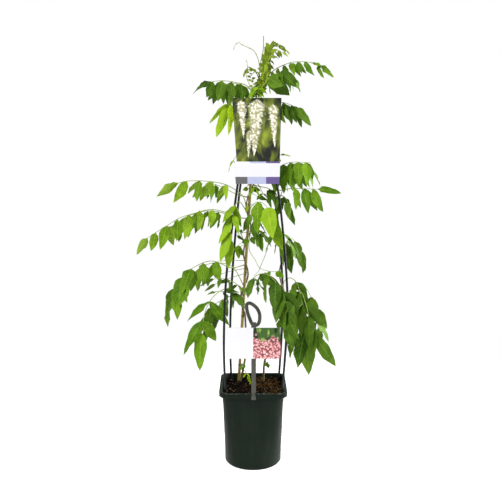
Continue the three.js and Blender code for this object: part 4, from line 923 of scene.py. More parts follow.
# Shade, light, vein and back colours of the leaves' tones. Deep is partly painted shade and bright partly
# painted light.
TONES = {
    "deep": ("30500e", "5c7e22", "82a244", "4c6a22"),
    "leaf": ("406610", "6e951e", "94b23c", "608228"),
    "bright": ("537a10", "88ac22", "b0c64e", "86a43c"),
    "pale": ("6c9400", "a4c400", "bcd63c", "9cbc30"),
    "young": ("556c12", "849a28", "a4b450", "80943e"),
}


# ---- materials -----------------------------------------------------------------------------------

LABEL_STRIP_TOP = 733  # heights of the label's bands
LABEL_BAND_TOP = 765.5
LABEL_PICTURE_FOOT = 769.5
LABEL_GREY_RIGHT = -14  # where its strips change colour, from left to right
LABEL_PALE_LEFT = -8
LABEL_STRONG_LEFT = 31
# Left, top, length, width and slant of the flower clusters in the label's picture.
LABEL_RACEMES = [
    (-29, 919, 92, 15, 6), (10, 922, 138, 26, -8), (47, 909, 104, 16, 5), (-8, 846, 66, 11, -4),
]


def plastic_material(name, body, worn, dust_and_highlight, satin, relief, shine=0.22):
    material, graph, shader = new_material(name, Specular_IOR_Level=shine)
    made = graph.group("Moulding", {"Colour": body, "Worn": worn, "Dust": dust_and_highlight, "Satin": satin})
    coat(graph, shader, made["Colour"], made["Roughness"], made["Height"], strength=0.25, depth=relief)
    return material


def soil_material(settings):
    material, graph, shader = new_material("Potting soil", Specular_IOR_Level=0.05)
    place = graph.object_place()
    mottle = graph.mottle(place, 38.0)
    clods = graph.cells(place, 330.0)["Distance"]
    damp = graph.mix(mottle["Patches"], settings.soil_damp, settings.soil)
    dry_and_lit = graph.times(graph.rise(mottle["Grain"], 0.5, 0.66), graph.fall(clods, 0.2, 0.5, 0.2))
    # Painted shade: the dry specks fade to a tenth towards the left of the soil, which lies in shade.
    dry_and_lit = graph.times(dry_and_lit, graph.rise(graph.parts(place)[0], -0.02, 0.03, 0.1, 1.0))
    relief = graph.plus(mottle["Grain"], graph.times(clods, -0.8))
    coat(graph, shader, graph.mix(dry_and_lit, damp, settings.soil_dry),
         graph.rise(mottle["Patches"], 0.0, 1.0, 0.75, 1.0), relief, strength=0.9, depth=2.0)
    return material


def crumb_material(name, dark, light, scale):
    material, graph, shader = new_material(name, Specular_IOR_Level=0.05)
    mottle = graph.mottle(graph.object_place(), scale)
    share = graph.times(graph.plus(mottle["Patches"], mottle["Grain"]), 0.55, clamp=True)
    coat(graph, shader, graph.mix(share, dark, light), 0.95, mottle["Grain"],
         strength=0.6, depth=0.6)
    return material


def cane_material(settings):
    material, graph, shader = new_material("Bamboo")
    place = graph.object_place()
    joint = graph.attribute("joint")
    fibres = graph.noise(graph.stretch(place, (900, 900, 14)), 1.0, detail=4.0)
    mottle = graph.mottle(graph.stretch(place, (1, 1, 0.2)), 60.0)
    skin = graph.mix(graph.rise(fibres, 0.35, 0.7), settings.cane, settings.cane_pale)
    stains = graph.times(graph.rise(mottle["Grain"], 0.55, 0.72), 0.55)
    skin = graph.mix(stains, skin, settings.cane_mark)
    coat(graph, shader, graph.mix(graph.times(joint, 0.8), skin, settings.cane_mark),
         graph.rise(mottle["Patches"], 0.0, 1.0, 0.38, 0.6), fibres, strength=0.35, depth=0.3)
    return material


def bark_material(settings):
    material, graph, shader = new_material("Bark")
    place = graph.object_place()
    height = graph.parts(place)[2]
    mottle = graph.mottle(place, 90.0)
    fresh = graph.times(mottle["Patches"], 0.3)
    fresh = graph.plus(graph.rise(height, 0.42, 1.0), fresh, clamp=True)
    skin = graph.mix(fresh, settings.bark, settings.bark_green)
    cracks = graph.noise(graph.stretch(place, (700, 700, 90)), 1.0, detail=4.0)
    skin = graph.mix(graph.rise(cracks, 0.5, 0.68), skin, settings.bark_dark)
    pores = graph.cells(graph.stretch(place, (330, 330, 150)), 1.0)["Distance"]
    pore = graph.fall(pores, 0.1, 0.24)
    coat(graph, shader, graph.mix(graph.times(pore, 0.7), skin, settings.lenticel),
         graph.rise(mottle["Grain"], 0.3, 0.7, 0.6, 0.85), graph.minus(pore, cracks),
         strength=0.7, depth=0.5)
    return material


def stalk_material(name, young, base):
    material, graph, shader = new_material(name)
    place = graph.object_place()
    mottle = graph.mottle(place, 120.0)
    browned = graph.plus(graph.attribute("base"), graph.times(mottle["Patches"], 0.25), clamp=True)
    coat(graph, shader, graph.mix(browned, young, base),
         graph.rise(mottle["Grain"], 0.3, 0.7, 0.45, 0.65), mottle["Grain"], strength=0.4, depth=0.2)
    return material


def leaf_material(tone):
    shade, light, vein, back = (colour(code) for code in TONES[tone])
    material, graph, shader = new_material(f"Leaf {tone}", Specular_IOR_Level=0.05)
    made = graph.group("Leaf", {"Shade": shade, "Light": light, "Vein": vein, "Back": back})
    coat(graph, shader, made["Colour"], made["Roughness"], made["Height"], strength=0.4, depth=0.3)
    return material


def sheet_place(graph):
    """Object coordinates in millimetres, and a mask for the face that looks forward."""
    place = graph.stretch(graph.object_place(), (PER_METRE, PER_METRE, PER_METRE))
    return place, graph.fall(graph.facing()[1], -0.9, -0.8)


def finish_sheet(graph, shader, printed, front, bare):
    """Puts a print on the front of a plastic sheet and leaves the rest bare."""
    mottle = graph.mottle(graph.object_place(), 20.0)
    coat(graph, shader, graph.mix(front, bare, printed),
         graph.rise(mottle["Grain"], 0.3, 0.7, 0.3, 0.42), mottle["Patches"],
         strength=0.15, depth=0.6)


def between(graph, value, low, high):
    above = graph.math("GREATER_THAN", value, low)
    return graph.times(above, graph.math("LESS_THAN", value, high))


def label_material(settings):
    """The label: a picture of hanging white flowers over a bare band between coloured strips."""
    material, graph, shader = new_material("Label print")
    place, front = sheet_place(graph)
    x, _, z = graph.parts(place)
    picture = graph.group("Greenery", {"Place": place, "Size": 30.0, "Dark": settings.night,
                                       "Green": settings.green, "Bright": settings.green_bright})["Colour"]
    petals = graph.group("Petals", {"Place": place, "Size": 6.0, "Lit": settings.white_flower,
                                    "Mid": colour("dcdac8"), "Shadow": colour("a09d76")})["Colour"]
    for left, top, length, width, slant in LABEL_RACEMES:
        mask = graph.group("Raceme", {"Place": place, "Left": left, "Top": top, "Length": length,
                                      "Width": width, "Slant": slant})["Mask"]
        picture = graph.mix(mask, picture, petals)
    strip = graph.math("GREATER_THAN", x, LABEL_STRONG_LEFT)
    strip = graph.mix(strip, settings.band, settings.band_strong)
    thin_strip = graph.mix(graph.math("GREATER_THAN", x, LABEL_PALE_LEFT), settings.sheet, strip)
    low_strip = graph.mix(graph.math("GREATER_THAN", x, LABEL_GREY_RIGHT), settings.band_grey, strip)
    printed = graph.mix(between(graph, z, LABEL_BOTTOM - 1, LABEL_STRIP_TOP), settings.sheet, low_strip)
    printed = graph.mix(between(graph, z, LABEL_BAND_TOP, LABEL_PICTURE_FOOT), printed, thin_strip)
    printed = graph.mix(graph.math("GREATER_THAN", z, LABEL_PICTURE_FOOT), printed, picture)
    finish_sheet(graph, shader, printed, front, settings.sheet)
    return material


def card_material(settings):
    """The card: bare on the left, round pink blossom on green on the right."""
    material, graph, shader = new_material("Card print")
    place, front = sheet_place(graph)
    x, _, z = graph.parts(place)
    greenery = graph.group("Greenery", {"Place": place, "Size": 16.0, "Dark": colour("0d1a08"),
                                        "Green": colour("365a1c"), "Bright": colour("a2bd58")})["Colour"]
    petals = graph.group("Petals", {"Place": place, "Size": 4.6, "Lit": colour("f0d0cc"),
                                    "Mid": settings.pink_flower, "Shadow": colour("843442")})["Colour"]
    wander = graph.times(graph.noise(place, 0.07, detail=1.0), 60.0)
    crowd = graph.fall(graph.plus(z, wander), CARD_TOP + 2, CARD_TOP + 8)
    picture = graph.mix(crowd, greenery, petals)
    printed = graph.mix(graph.math("GREATER_THAN", x, CARD_MIDDLE), settings.sheet, picture)
    finish_sheet(graph, shader, printed, front, settings.sheet)
    return material


# ---- the pot and what fills it -------------------------------------------------------------------

CRUMB_SEED = 11
CRUMB_REACH = 71  # crumbs lie this far from the middle at the most
BARK_EDGES = (-15, 45)  # the share of bark grows from the left of the pot to its right
SOIL_CRUMB, BARK_CHIP, SOIL_FIBRE, PERLITE, SHADED_CRUMB = range(5)
ANY_TURN = 6.3  # radians
SOIL_WAVES = (0.19, 0.23)  # radians of the soil's waves in a millimetre
SOIL_RIPPLES = (0.43, 0.37)
RIPPLE_SHARE = 0.6  # height of the ripples against the waves
CLOD_SCALE = 0.16
# The share of crumbs up to each kind, and how much less it is where bark lies.
CLODS_UP_TO = (0.92, 0.57)
CHIPS_UP_TO = (0.94, 0.1)
FIBRES_UP_TO = (0.985, 0.015)
BARK_SLANT = 0.4  # bark lies further to the left at the back
# Painted shade: on the left, where bark's share is below this, clods take the darker crumb colours.
SHADED_BELOW = 0.4  # of bark's share
CLOD_TURN = 6
CLOD_LEAST = 0.5
CLOD_SPAN = 2.1
PERLITE_SPAN = 0.7
CLOD_FLAT = ((0.6, 1), (0.5, 0.9))  # width and height as shares of its length, from and to
CHIP_TILT = 0.5
CHIP_SIZE = ((2.5, 8), (1.2, 3), (0.6, 1.4))
FIBRE_RISE = (-0.1, 0.35)
FIBRE_REACH = (2, 7)
FIBRE_BEND = ((-1.5, 1.5), (-1.5, 1.5), (0, 1.5))
FIBRE_LIFT = 0.5
FIBRE_WIDTH = (0.2, 0.5)
FIBRE_TAPER = (0.6, 1, 0.5)


def make_pot(settings):
    pot = turned(POT_PROFILE, settings.segments)
    round_edges(pot, angle=30, offset=settings.edge, segments=3)
    square_up(pot)
    # The dust colour on the rim's top is partly a painted highlight.
    body = plastic_material("Pot plastic", settings.plastic, settings.worn, settings.dust_and_highlight,
                            settings.satin, relief=0.12, shine=0.05)
    piece = finish_piece("moulded_pot", pot, [body], ["pot"], crease=50)
    drill_holes(piece)


def drill_holes(piece):
    """Cuts the drain holes through the pot's floor."""
    drills = bmesh.new()
    for i in range(DRAIN_HOLES):
        turn = AROUND * (i + 0.5) / DRAIN_HOLES
        centre = (DRAIN_CIRCLE * math.cos(turn), DRAIN_CIRCLE * math.sin(turn), 0)
        bmesh.ops.create_cone(drills, cap_ends=True, segments=24, radius1=DRAIN_RADIUS,
                              radius2=DRAIN_RADIUS, depth=12, matrix=Matrix.Translation(centre))
    bmesh.ops.scale(drills, vec=(MM, MM, MM), verts=drills.verts[:])
    cutter = place_object("drills", new_mesh("drills", drills))
    cut = piece.modifiers.new("Drain holes", "BOOLEAN")
    cut.operation = "DIFFERENCE"
    cut.object = cutter
    cut.solver = "EXACT"
    keep_modified(piece)
    bpy.data.objects.remove(cutter)


def keep_modified(piece):
    """Puts what the modifiers make into the mesh and removes them."""
    bpy.context.view_layer.update()
    shaped = piece.evaluated_get(bpy.context.evaluated_depsgraph_get())
    mesh = bpy.data.meshes.new_from_object(shaped)
    piece.modifiers.clear()
    piece.data = mesh


def soil_height(x, y):
    """The soil's surface: low waves, with small clods on them."""
    waves = math.sin(x * SOIL_WAVES[0] + 1) * math.cos(y * SOIL_WAVES[1])
    ripples = math.sin(x * SOIL_RIPPLES[0] - y * SOIL_RIPPLES[1])
    clods = noise.fractal(Vector((x * CLOD_SCALE, y * CLOD_SCALE, 3)), 1.0, 2.0, 3)
    return SOIL_TOP + SOIL_BUMP * (waves + RIPPLE_SHARE * ripples) + SOIL_CLOD * clods


def make_soil(settings):
    rings = [(SOIL_REACH * i / SOIL_RINGS, SOIL_TOP) for i in range(SOIL_RINGS + 1)]
    soil = turned(rings + SOIL_SIDE, settings.segments)
    square_up(soil)
    for vert in soil.verts:
        if vert.co.z > SOIL_TOP - 1:
            raised = 1 - smooth(max(abs(vert.co.x), abs(vert.co.y)), *SOIL_SLOPE)
            vert.co.z = SOIL_EDGE + (soil_height(vert.co.x, vert.co.y) - SOIL_EDGE) * raised
    finish_piece("soil_surface", soil, [soil_material(settings)], ["soil"], crease=180)


def up_to(kind, barky):
    """The share of crumbs up to a kind, where so much bark lies."""
    return kind[0] - kind[1] * barky


def scatter_crumbs(settings):
    """Clods, bark chips, fibres and a little perlite that lie on the soil."""
    draw = random.Random(CRUMB_SEED)
    crumbs = bmesh.new()
    for _ in range(settings.crumbs):
        x, y = (draw.uniform(-CRUMB_REACH, CRUMB_REACH) for _ in "xy")
        spot = Vector((x, y, soil_height(x, y)))
        axis = [draw.uniform(-1, 1) for _ in "xyz"]
        turn = Quaternion(axis, draw.uniform(0, CLOD_TURN))
        pick = draw.random()
        barky = smooth(x + BARK_SLANT * y, *BARK_EDGES)
        # Painted shade: clods on the left of the soil take the darker colours of the shaded crumb.
        if pick < up_to(CLODS_UP_TO, barky):
            clod(crumbs, spot, turn, CLOD_LEAST + CLOD_SPAN * draw.random() ** 2, draw,
                 SHADED_CRUMB if barky < SHADED_BELOW else SOIL_CRUMB)
        elif pick < up_to(CHIPS_UP_TO, barky):
            chip(crumbs, spot, draw)
        elif pick < up_to(FIBRES_UP_TO, barky):
            fibre(crumbs, spot, draw)
        else:
            clod(crumbs, spot, turn, CLOD_LEAST + PERLITE_SPAN * draw.random(), draw, PERLITE)
    materials = [
        crumb_material("Soil crumb", settings.soil_damp, settings.soil_dry, scale=90.0),
        crumb_material("Bark chip", settings.soil, settings.bark_chip, scale=70.0),
        crumb_material("Soil fibre", settings.bark_chip, settings.fibre, scale=200.0),
        crumb_material("Perlite", colour("b8ab92"), colour("e6dfcf"), scale=200.0),
        # Painted shade: a darker copy of the soil crumb, for the left of the soil.
        crumb_material("Damp crumb", settings.soil_damp, settings.soil, scale=90.0),
    ]
    finish_piece("soil_crumbs", crumbs, materials)


def clod(crumbs, spot, turn, radius, draw, material):
    shape = Matrix.Translation(spot) @ turn.to_matrix().to_4x4() @ Matrix.Diagonal(
        (radius, *(radius * draw.uniform(*span) for span in CLOD_FLAT), 1))
    part = bmesh.new()
    bmesh.ops.create_icosphere(part, subdivisions=1, radius=1, matrix=shape)
    absorb(crumbs, part, material)


def chip(crumbs, spot, draw):
    turn = Matrix.Rotation(draw.uniform(0, ANY_TURN), 4, "Z")
    turn = turn @ Matrix.Rotation(draw.uniform(-CHIP_TILT, CHIP_TILT), 4, "X")
    size = (*(draw.uniform(*span) for span in CHIP_SIZE), 1)
    part = bmesh.new()
    bmesh.ops.create_cube(part, size=1, matrix=Matrix.Translation(spot) @ turn @ Matrix.Diagonal(size))
    absorb(crumbs, part, BARK_CHIP)


def fibre(crumbs, spot, draw):
    turn = draw.uniform(0, ANY_TURN)
    heading = Vector((math.cos(turn), math.sin(turn), draw.uniform(*FIBRE_RISE)))
    reach = heading * draw.uniform(*FIBRE_REACH)
    bend = Vector([draw.uniform(*span) for span in FIBRE_BEND])
    lift = UP * FIBRE_LIFT
    width = draw.uniform(*FIBRE_WIDTH)
    bar(crumbs, [spot - reach + lift, spot + bend + lift, spot + reach + lift],
        [width * share for share in FIBRE_TAPER], sides=4, material=SOIL_FIBRE)


# ---- cane, trellis and stems ---------------------------------------------------------------------

CANE_JOINTS = (238, 372, 505, 634, 760)
CANE_RING = (-1.4, -0.7, 0, 0.7, 1.4)  # heights round a joint where its ring is drawn
CANE_STEP = 4
CANE_TAPER = 0.4
CANE_HOLLOW = 0.12  # the skin lies this far in between joints
CANE_SWELL = 0.5
CANE_RING_EDGE = (0.4, 2.0)  # distances from a joint over which its ring and its mark fade
CANE_MARK_EDGE = (1.0, 3.0)
LEG_SHORT = 5  # a leg ends this far below its sleeve's top
CROWN_LOW = 8  # the crown's bars start this far up inside the sleeves
CROWN_SHORT = 0.5
SLEEVE_LIP = 0.4
SWELL_REACH = (2, 9)  # a stem swells this far above and below a leaf
SWELL = 0.14
UNEVEN = 0.05
UNEVEN_PACE = 0.06
UNEVEN_APART = 7.3  # sets the unevenness of one stem apart from the next
STEM_STEP = 3.5
BUD_RADII = (1.1, 1.3, 0.9, 0.15)
BUD_START = 0.6  # of the stem's radius, out from its middle
BUD_OUT = 0.5  # outwards and upwards at each step of a bud
BUD_RISE = 1.4
BUD_LIFT = 2.2
SHOOT_SLIM = 0.8  # of a leaf stalk's thickness, at a shoot's foot and at its tip
SHOOT_TIP_SLIM = 0.6
SHOOT_BUDS = (0.3, 0.48, 0.66, 0.82, 0.93)
SHOOT_BUD_RADII = (0.5, 0.8, 0.12)
SHOOT_BUD_AHEAD = 4
SHOOT_BUD_ASIDE = 1.6
SHOOT_BUD_BULGE = 0.4
STEM_FOOT = 160
STEM_RISE = 900


def make_cane(settings):
    """A cane with a raised ring at each joint and a cut end."""
    cane = bmesh.new()
    count = round((CANE_TIP.z - CANE_FOOT.z) / CANE_STEP)
    heights = [CANE_FOOT.z + CANE_STEP * i for i in range(count)]
    heights += [joint + step for joint in CANE_JOINTS for step in CANE_RING]
    heights = sorted(heights) + [CANE_TIP.z]
    centres, radii = [], []
    for height in heights:
        taper = CANE_RADIUS - CANE_TAPER * (height - CANE_FOOT.z) / (CANE_TIP.z - CANE_FOOT.z)
        away = min(abs(height - joint) for joint in CANE_JOINTS)
        centres.append(cane_at(height))
        radii.append(taper - CANE_HOLLOW + CANE_SWELL * (1 - smooth(away, *CANE_RING_EDGE)))
    bar(cane, centres, radii, sides=20)
    mark = cane.verts.layers.float.new("joint")
    for vert in cane.verts:
        away = min(abs(vert.co.z - joint) for joint in CANE_JOINTS)
        vert[mark] = 1 - smooth(away, *CANE_MARK_EDGE)
    finish_piece("cane_skin", cane, [cane_material(settings)], ["bamboo_cane"])


def make_trellis(settings):
    # The dust colour on faces that look up is partly a painted highlight.
    body = plastic_material("Trellis plastic", settings.trellis, settings.trellis_worn,
                            colour("4c4c48"), satin=0.38, relief=0.1)
    sides = settings.rod_sides
    for name, route in RODS.items():
        leg = bmesh.new()
        centres = route.stretch(ROD_FOOT, SLEEVE_HEIGHT + SLEEVE_LENGTH - LEG_SHORT, count=90)
        bar(leg, centres, [ROD_RADIUS] * len(centres), sides)
        finish_piece(f"rod_{name}", leg, [body], [f"trellis_leg_{name}"])
    crown = bmesh.new()
    for route in RODS.values():
        centres = route.stretch(SLEEVE_HEIGHT + CROWN_LOW, APEX[2] - CROWN_SHORT, count=40)
        bar(crown, centres, [ROD_RADIUS] * len(centres), sides)
        centres = route.stretch(SLEEVE_HEIGHT, SLEEVE_HEIGHT + SLEEVE_LENGTH, len(SLEEVE_TAPER))
        radii = [SLEEVE_RADIUS - thinner for thinner in SLEEVE_TAPER] + [ROD_RADIUS + SLEEVE_LIP]
        bar(crown, centres, radii, sides)
    bmesh.ops.create_uvsphere(crown, u_segments=20, v_segments=12, radius=BOSS_RADIUS,
                              matrix=Matrix.Translation(APEX))
    finish_piece("rod_crown", crown, [body], ["trellis_crown"])


def stem_bar(whole, route, thick, thin, steps, sides, knots, seed):
    """A stem: slightly uneven, swollen where leaves grow out of it."""
    centres = route.evenly(steps)
    radii = []
    for i, centre in enumerate(centres):
        radius = thick + (thin - thick) * i / steps
        away = min((abs(centre.z - knot) for knot in knots), default=math.inf)
        swelling = SWELL * (1 - smooth(away, *SWELL_REACH))
        uneven = UNEVEN * noise.noise(Vector((seed * UNEVEN_APART, centre.z * UNEVEN_PACE, 0)))
        radii.append(radius * (1 + swelling + uneven))
    bar(whole, centres, radii, sides)


def make_stems(settings):
    bark = bark_material(settings)
    buds_material = crumb_material("Bud scales", colour("4d3f22"), settings.bud, scale=300.0)
    for number, (name, points) in enumerate(STEMS.items()):
        knots = [leaf["height"] for leaf in FRONDS if leaf["stem"] == name]
        stem = bmesh.new()
        route = Route(points)
        stem_bar(stem, route, STEM_RADIUS, STEM_TIP_RADIUS, steps=round(route.length / STEM_STEP),
                 sides=12, knots=knots, seed=number)
        for leaf in FRONDS:
            if leaf["stem"] == name:
                bud(stem, leaf)
        finish_piece(f"bark_{name}", stem, [bark, buds_material], [f"stem_{name}"], crease=60)


def bud(whole, leaf):
    """A pointed bud in the corner between a leaf's stalk and its stem."""
    start = on_stem(STEMS[leaf["stem"]], leaf["height"])
    away = Vector(leaf["via"][0]) - start
    away.z = 0
    outward = away.normalized()
    share = (start.z - STEM_FOOT) / STEM_RISE
    reach = STEM_RADIUS + (STEM_TIP_RADIUS - STEM_RADIUS) * share
    centres = [start + outward * (reach * BUD_START + BUD_OUT * i) + UP * (BUD_LIFT + BUD_RISE * i)
               for i in range(len(BUD_RADII))]
    bar(whole, centres, BUD_RADII, sides=7, material=1)


def make_shoots():
    skin = stalk_material("Shoot skin", colour("8d9a44"), colour("6b5a30"))
    for number, (name, points) in enumerate(SHOOTS.items()):
        shoot = bmesh.new()
        shoot.faces.layers.float.new("base")
        route = Route(points)
        stem_bar(shoot, route, RACHIS_RADIUS * SHOOT_SLIM, RACHIS_TIP * SHOOT_TIP_SLIM, steps=50,
                 sides=8, knots=(), seed=number + 5)
        for share in SHOOT_BUDS:
            spot = route.along(share)
            ahead = (route.along(share + 0.03) - spot).normalized()
            side = ahead.cross(Vector((0, 1, 0))).normalized() * (1 if round(share * 100) % 2 else -1)
            tip = spot + ahead * SHOOT_BUD_AHEAD + side * SHOOT_BUD_ASIDE
            bulge = spot.lerp(tip, 0.5) + side * SHOOT_BUD_BULGE
            bar(shoot, [spot, bulge, tip], SHOOT_BUD_RADII, sides=6)
        finish_piece(f"tip_{name}", shoot, [skin], [name], crease=60)


# ---- leaves --------------------------------------------------------------------------------------

# Ways a leaflet may be swung, in degrees out of its row and along its stalk.
SWINGS = [
    (0, 0), (14, 0), (0, 16), (0, -16), (28, 0), (14, 22), (14, -22), (0, 34), (0, -34),
    (42, 0), (28, 30), (28, -30), (56, 12), (-10, 12),
]
SAME_PLACE = 0.15  # a leaflet's tip is this near to its place in the solid leaf
WIDEST_BACK = 0.8  # powers below 1 move the widest place back and fill the blade out
BLADE_FULL = 0.7
BLADE_TAPER = 0.32  # how much narrower the blade grows towards its tip
LAST_PAIR = 0.96  # pairs grow along this share of the leafy stretch
HEADING_STEP = 0.02
UPWARD = 0.7  # how far leaflets face up
END_LEAN = 0.3  # how far the leaflet at the end leans sideways
FACE_FLAT = 0.6  # leaflets that face forward are tilted less
CRINKLED = (0.15, 0.35)  # the crinkle sets in between these shares of the length
TIP_THIN = (0.9, 1.0)  # the blade thins towards its tip between these
MARGIN_THIN = 0.5
BLADE_ACROSS = 4
BLADE_ALONG = 9
ROW_EASE = 1.25  # draws the rows of a blade's grid towards its foot
NECK_START = 1.5  # the little stalk of a leaflet, measured from the rachis
NECK_END = 6.0
NECK_SHARE = 0.2  # of a short leaflet that its little stalk takes at the most
NECK_HALF = 0.55
MERGE = 0.02  # corners nearer than this are one
HAIR = 0.001  # that leaves stay inside the solids' common box
SMALL_BLADE = 0.45  # thickness of a small leaf
STALK_STEP = 4
STALK_STEPS = 12  # of a short stalk
STALK_SLIM = 0.95  # of a stalk's thickness in the solids, so that it lies inside
STALK_TIP_SLIM = 0.8
FOOT_SWELL = 0.7
FOOT_REACH = (3, 10)  # the swollen foot of a stalk ends between these distances
PAIR_SWELL = 0.22
PAIR_REACH = (1, 5)
BROWN_FOOT = (4, 40)  # a stalk is brown at its foot and green beyond these
TONE_PLACES = {tone: place for place, tone in enumerate(TONES)}


def outline(s):
    """Half width of a leaflet at `s` along it, as a share of its greatest."""
    eased = min(max(s, 0.0), 1.0) ** WIDEST_BACK
    return max(math.sin(math.pi * eased), 0.0) ** BLADE_FULL * (1 - BLADE_TAPER * s * s)


def length_along(lengths, share):
    first, middle, last = lengths
    if share < 0.5:
        return first + (middle - first) * share * 2
    return middle + (last - middle) * (share * 2 - 1)


def pair_reach(leaf, pair):
    """Where along the stalk a pair of leaflets grows."""
    if pair >= leaf["pairs"]:
        return 1.0
    return leaf["bare"] + (1 - leaf["bare"]) * ((pair + 0.5) / leaf["pairs"]) * LAST_PAIR


def stalk_frame(leaf, route, reach):
    """The stalk's place, direction and side at a reach from 0 to 1."""
    heading = (route.along(reach + HEADING_STEP) - route.along(reach - HEADING_STEP)).normalized()
    side = heading.cross(UP).normalized()
    side.rotate(Quaternion(heading, math.radians(leaf["roll"])))
    return route.along(reach), heading, side


class Leaflet:
    """One leaflet: where it grows, how it is turned and the surface of its blade."""

    # How strong each unevenness is, and how fast it runs along the blade, with the leaflet's own
    # phase, and across the blade.
    RIPPLE = (0.22, 9, 1, 1.7)
    FRILL = (0.11, 19, 3, 2)
    CRINKLE = (0.07, 13, 5, 2)

    def __init__(self, root, along, normal, length, half, curl, fold, phase, tone):
        self.root, self.along, self.normal = root, along, normal
        self.across = along.cross(normal)
        self.length, self.half, self.curl, self.fold = length, half, curl, fold
        self.phase, self.tone = phase, tone

    def tip(self):
        return self.root + self.along * self.length - self.normal * (self.length * self.curl)

    def uneven(self, s, e, strength, along, own, across):
        return strength * math.sin(along * s + own * self.phase + across * e)

    def surface(self, s, e, lift):
        """A point `s` along the blade and `e` across it, `lift` above its middle."""
        blade = self.half * outline(s)
        half = blade
        if s < 0.5:
            grown = smooth(s * self.length, NECK_START, min(NECK_END, NECK_SHARE * self.length))
            half = NECK_HALF + (blade - NECK_HALF) * grown if blade > NECK_HALF else blade
            half = max(half, NECK_HALF)
        half *= 1 + self.uneven(s, e, *self.CRINKLE) * smooth(s, *CRINKLED)
        ripple = self.uneven(s, e, *self.RIPPLE) * abs(e)
        frill = self.uneven(s, e, *self.FRILL) * e * e
        height = half * (self.fold * abs(e) + ripple + frill) - self.length * self.curl * s * s + lift
        spot = self.root + self.along * (self.length * s) + self.across * (half * e)
        return spot + self.normal * height


def pose_leaflet(leaf, route, pair, row, swing):
    """A leaflet of a frond. The row is 1 or -1 for the two rows and 0 for the one at the end."""
    def draw(channel):
        return chance(leaf["seed"], pair * 3 + row + 1, channel) - 0.5

    share = (pair + 0.5) / leaf["pairs"] if row else 1.0
    root, heading, side = stalk_frame(leaf, route, pair_reach(leaf, pair))
    pull = leaf["ahead"] * (0.5 + share) + PULL_SPREAD * draw(2) if row else END_PULL
    fall = leaf["fall"] * (1 if row else leaf["droop"])
    along = side * (row * (leaf["splay"] + SPLAY_SPREAD * draw(1))) + heading * pull - UP * fall
    along.normalize()
    face = leaf["face"]
    normal = UP * UPWARD + side * ((row or END_LEAN) * (1 - face)) + FRONT * face
    outward, onward = (heading, side) if row else (side, UP)
    turn = Quaternion(onward, math.radians(swing[1]))
    turn = turn @ Quaternion(outward, math.radians((-row or 1) * swing[0]))
    along.rotate(turn)
    normal.rotate(turn)
    normal = (normal - along * normal.dot(along)).normalized()
    tilt = (TILT + TILT_SPREAD * draw(3)) * (1 - FACE_FLAT * face)
    normal.rotate(Quaternion(along, math.radians(tilt) * (row or 1)))
    length = length_along(leaf["lengths"], share) * (1 + LENGTH_SPREAD * draw(4))
    half = length * leaf["wide"] * (1 + WIDTH_SPREAD * draw(5)) / 2
    return Leaflet(root, along, normal, length, half, CURL * (1 + draw(6)), FOLD,
                   PHASE_SPAN * (draw(7) + 0.5), draw(8))


def grow_leaflets(leaf, route):
    """The leaflets as they stand in the solid leaf. Those that had no room there are left out."""
    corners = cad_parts[leaf["name"]].data.vertices
    tree = KDTree(len(corners))
    for index, corner in enumerate(corners):
        tree.insert(corner.co * PER_METRE, index)
    tree.balance()
    rows = [(pair, row) for pair in range(leaf["pairs"]) for row in (1, -1)]
    if leaf["end"]:
        rows.append((leaf["pairs"], 0))
    leaflets = []
    for pair, row in rows:
        for swing in SWINGS:
            leaflet = pose_leaflet(leaf, route, pair, row, swing)
            if tree.find(leaflet.tip())[2] < SAME_PLACE:
                leaflets.append(leaflet)
                break
    return leaflets


def blade(whole, leaflet, thickness, material=0):
    """Adds a leaflet's blade: a grid bent to its surface and given its thickness."""
    part = bmesh.new()
    part.loops.layers.uv.new("blade")
    tone = part.faces.layers.float.new("tone")
    under = part.faces.layers.float.new("underside")
    bmesh.ops.create_grid(part, x_segments=BLADE_ACROSS, y_segments=BLADE_ALONG, size=1, calc_uvs=True)
    stretch_map(part)
    for vert in part.verts:
        vert.co = (((vert.co.y + 1) / 2) ** ROW_EASE, vert.co.x, -1)
    for face in part.faces:
        face[under] = 1.0
    made = bmesh.ops.extrude_face_region(part, geom=part.faces[:])
    bmesh.ops.translate(part, vec=(0, 0, 2), verts=verts_of(made))
    for face in made["geom"]:
        if isinstance(face, bmesh.types.BMFace):
            face[under] = 0.0
    for vert in part.verts:
        s, e, level = vert.co
        margin = max(abs(e), smooth(s, *TIP_THIN))
        vert.co = leaflet.surface(s, e, level * thickness / 2 * (1 - MARGIN_THIN * margin ** 3))
    for face in part.faces:
        face[tone] = leaflet.tone
    bmesh.ops.remove_doubles(part, verts=part.verts[:], dist=MERGE)
    bmesh.ops.recalc_face_normals(part, faces=part.faces[:])
    absorb(whole, part, material)


def keep_inside(whole):
    """Moves what would pass the solids' common box back to a hair inside its face."""
    low, high = (Vector(corner) * PER_METRE for corner in cad_box)
    low, high = [value + HAIR for value in low], [value - HAIR for value in high]
    for vert in whole.verts:
        vert.co = (min(max(value, a), b) for value, a, b in zip(vert.co, low, high))


def stretch_map(part):
    """Makes the blade's map follow its eased rows."""
    uv = part.loops.layers.uv.active
    for face in part.faces:
        for loop in face.loops:
            loop[uv].uv.y = max(loop[uv].uv.y, 0.0) ** ROW_EASE


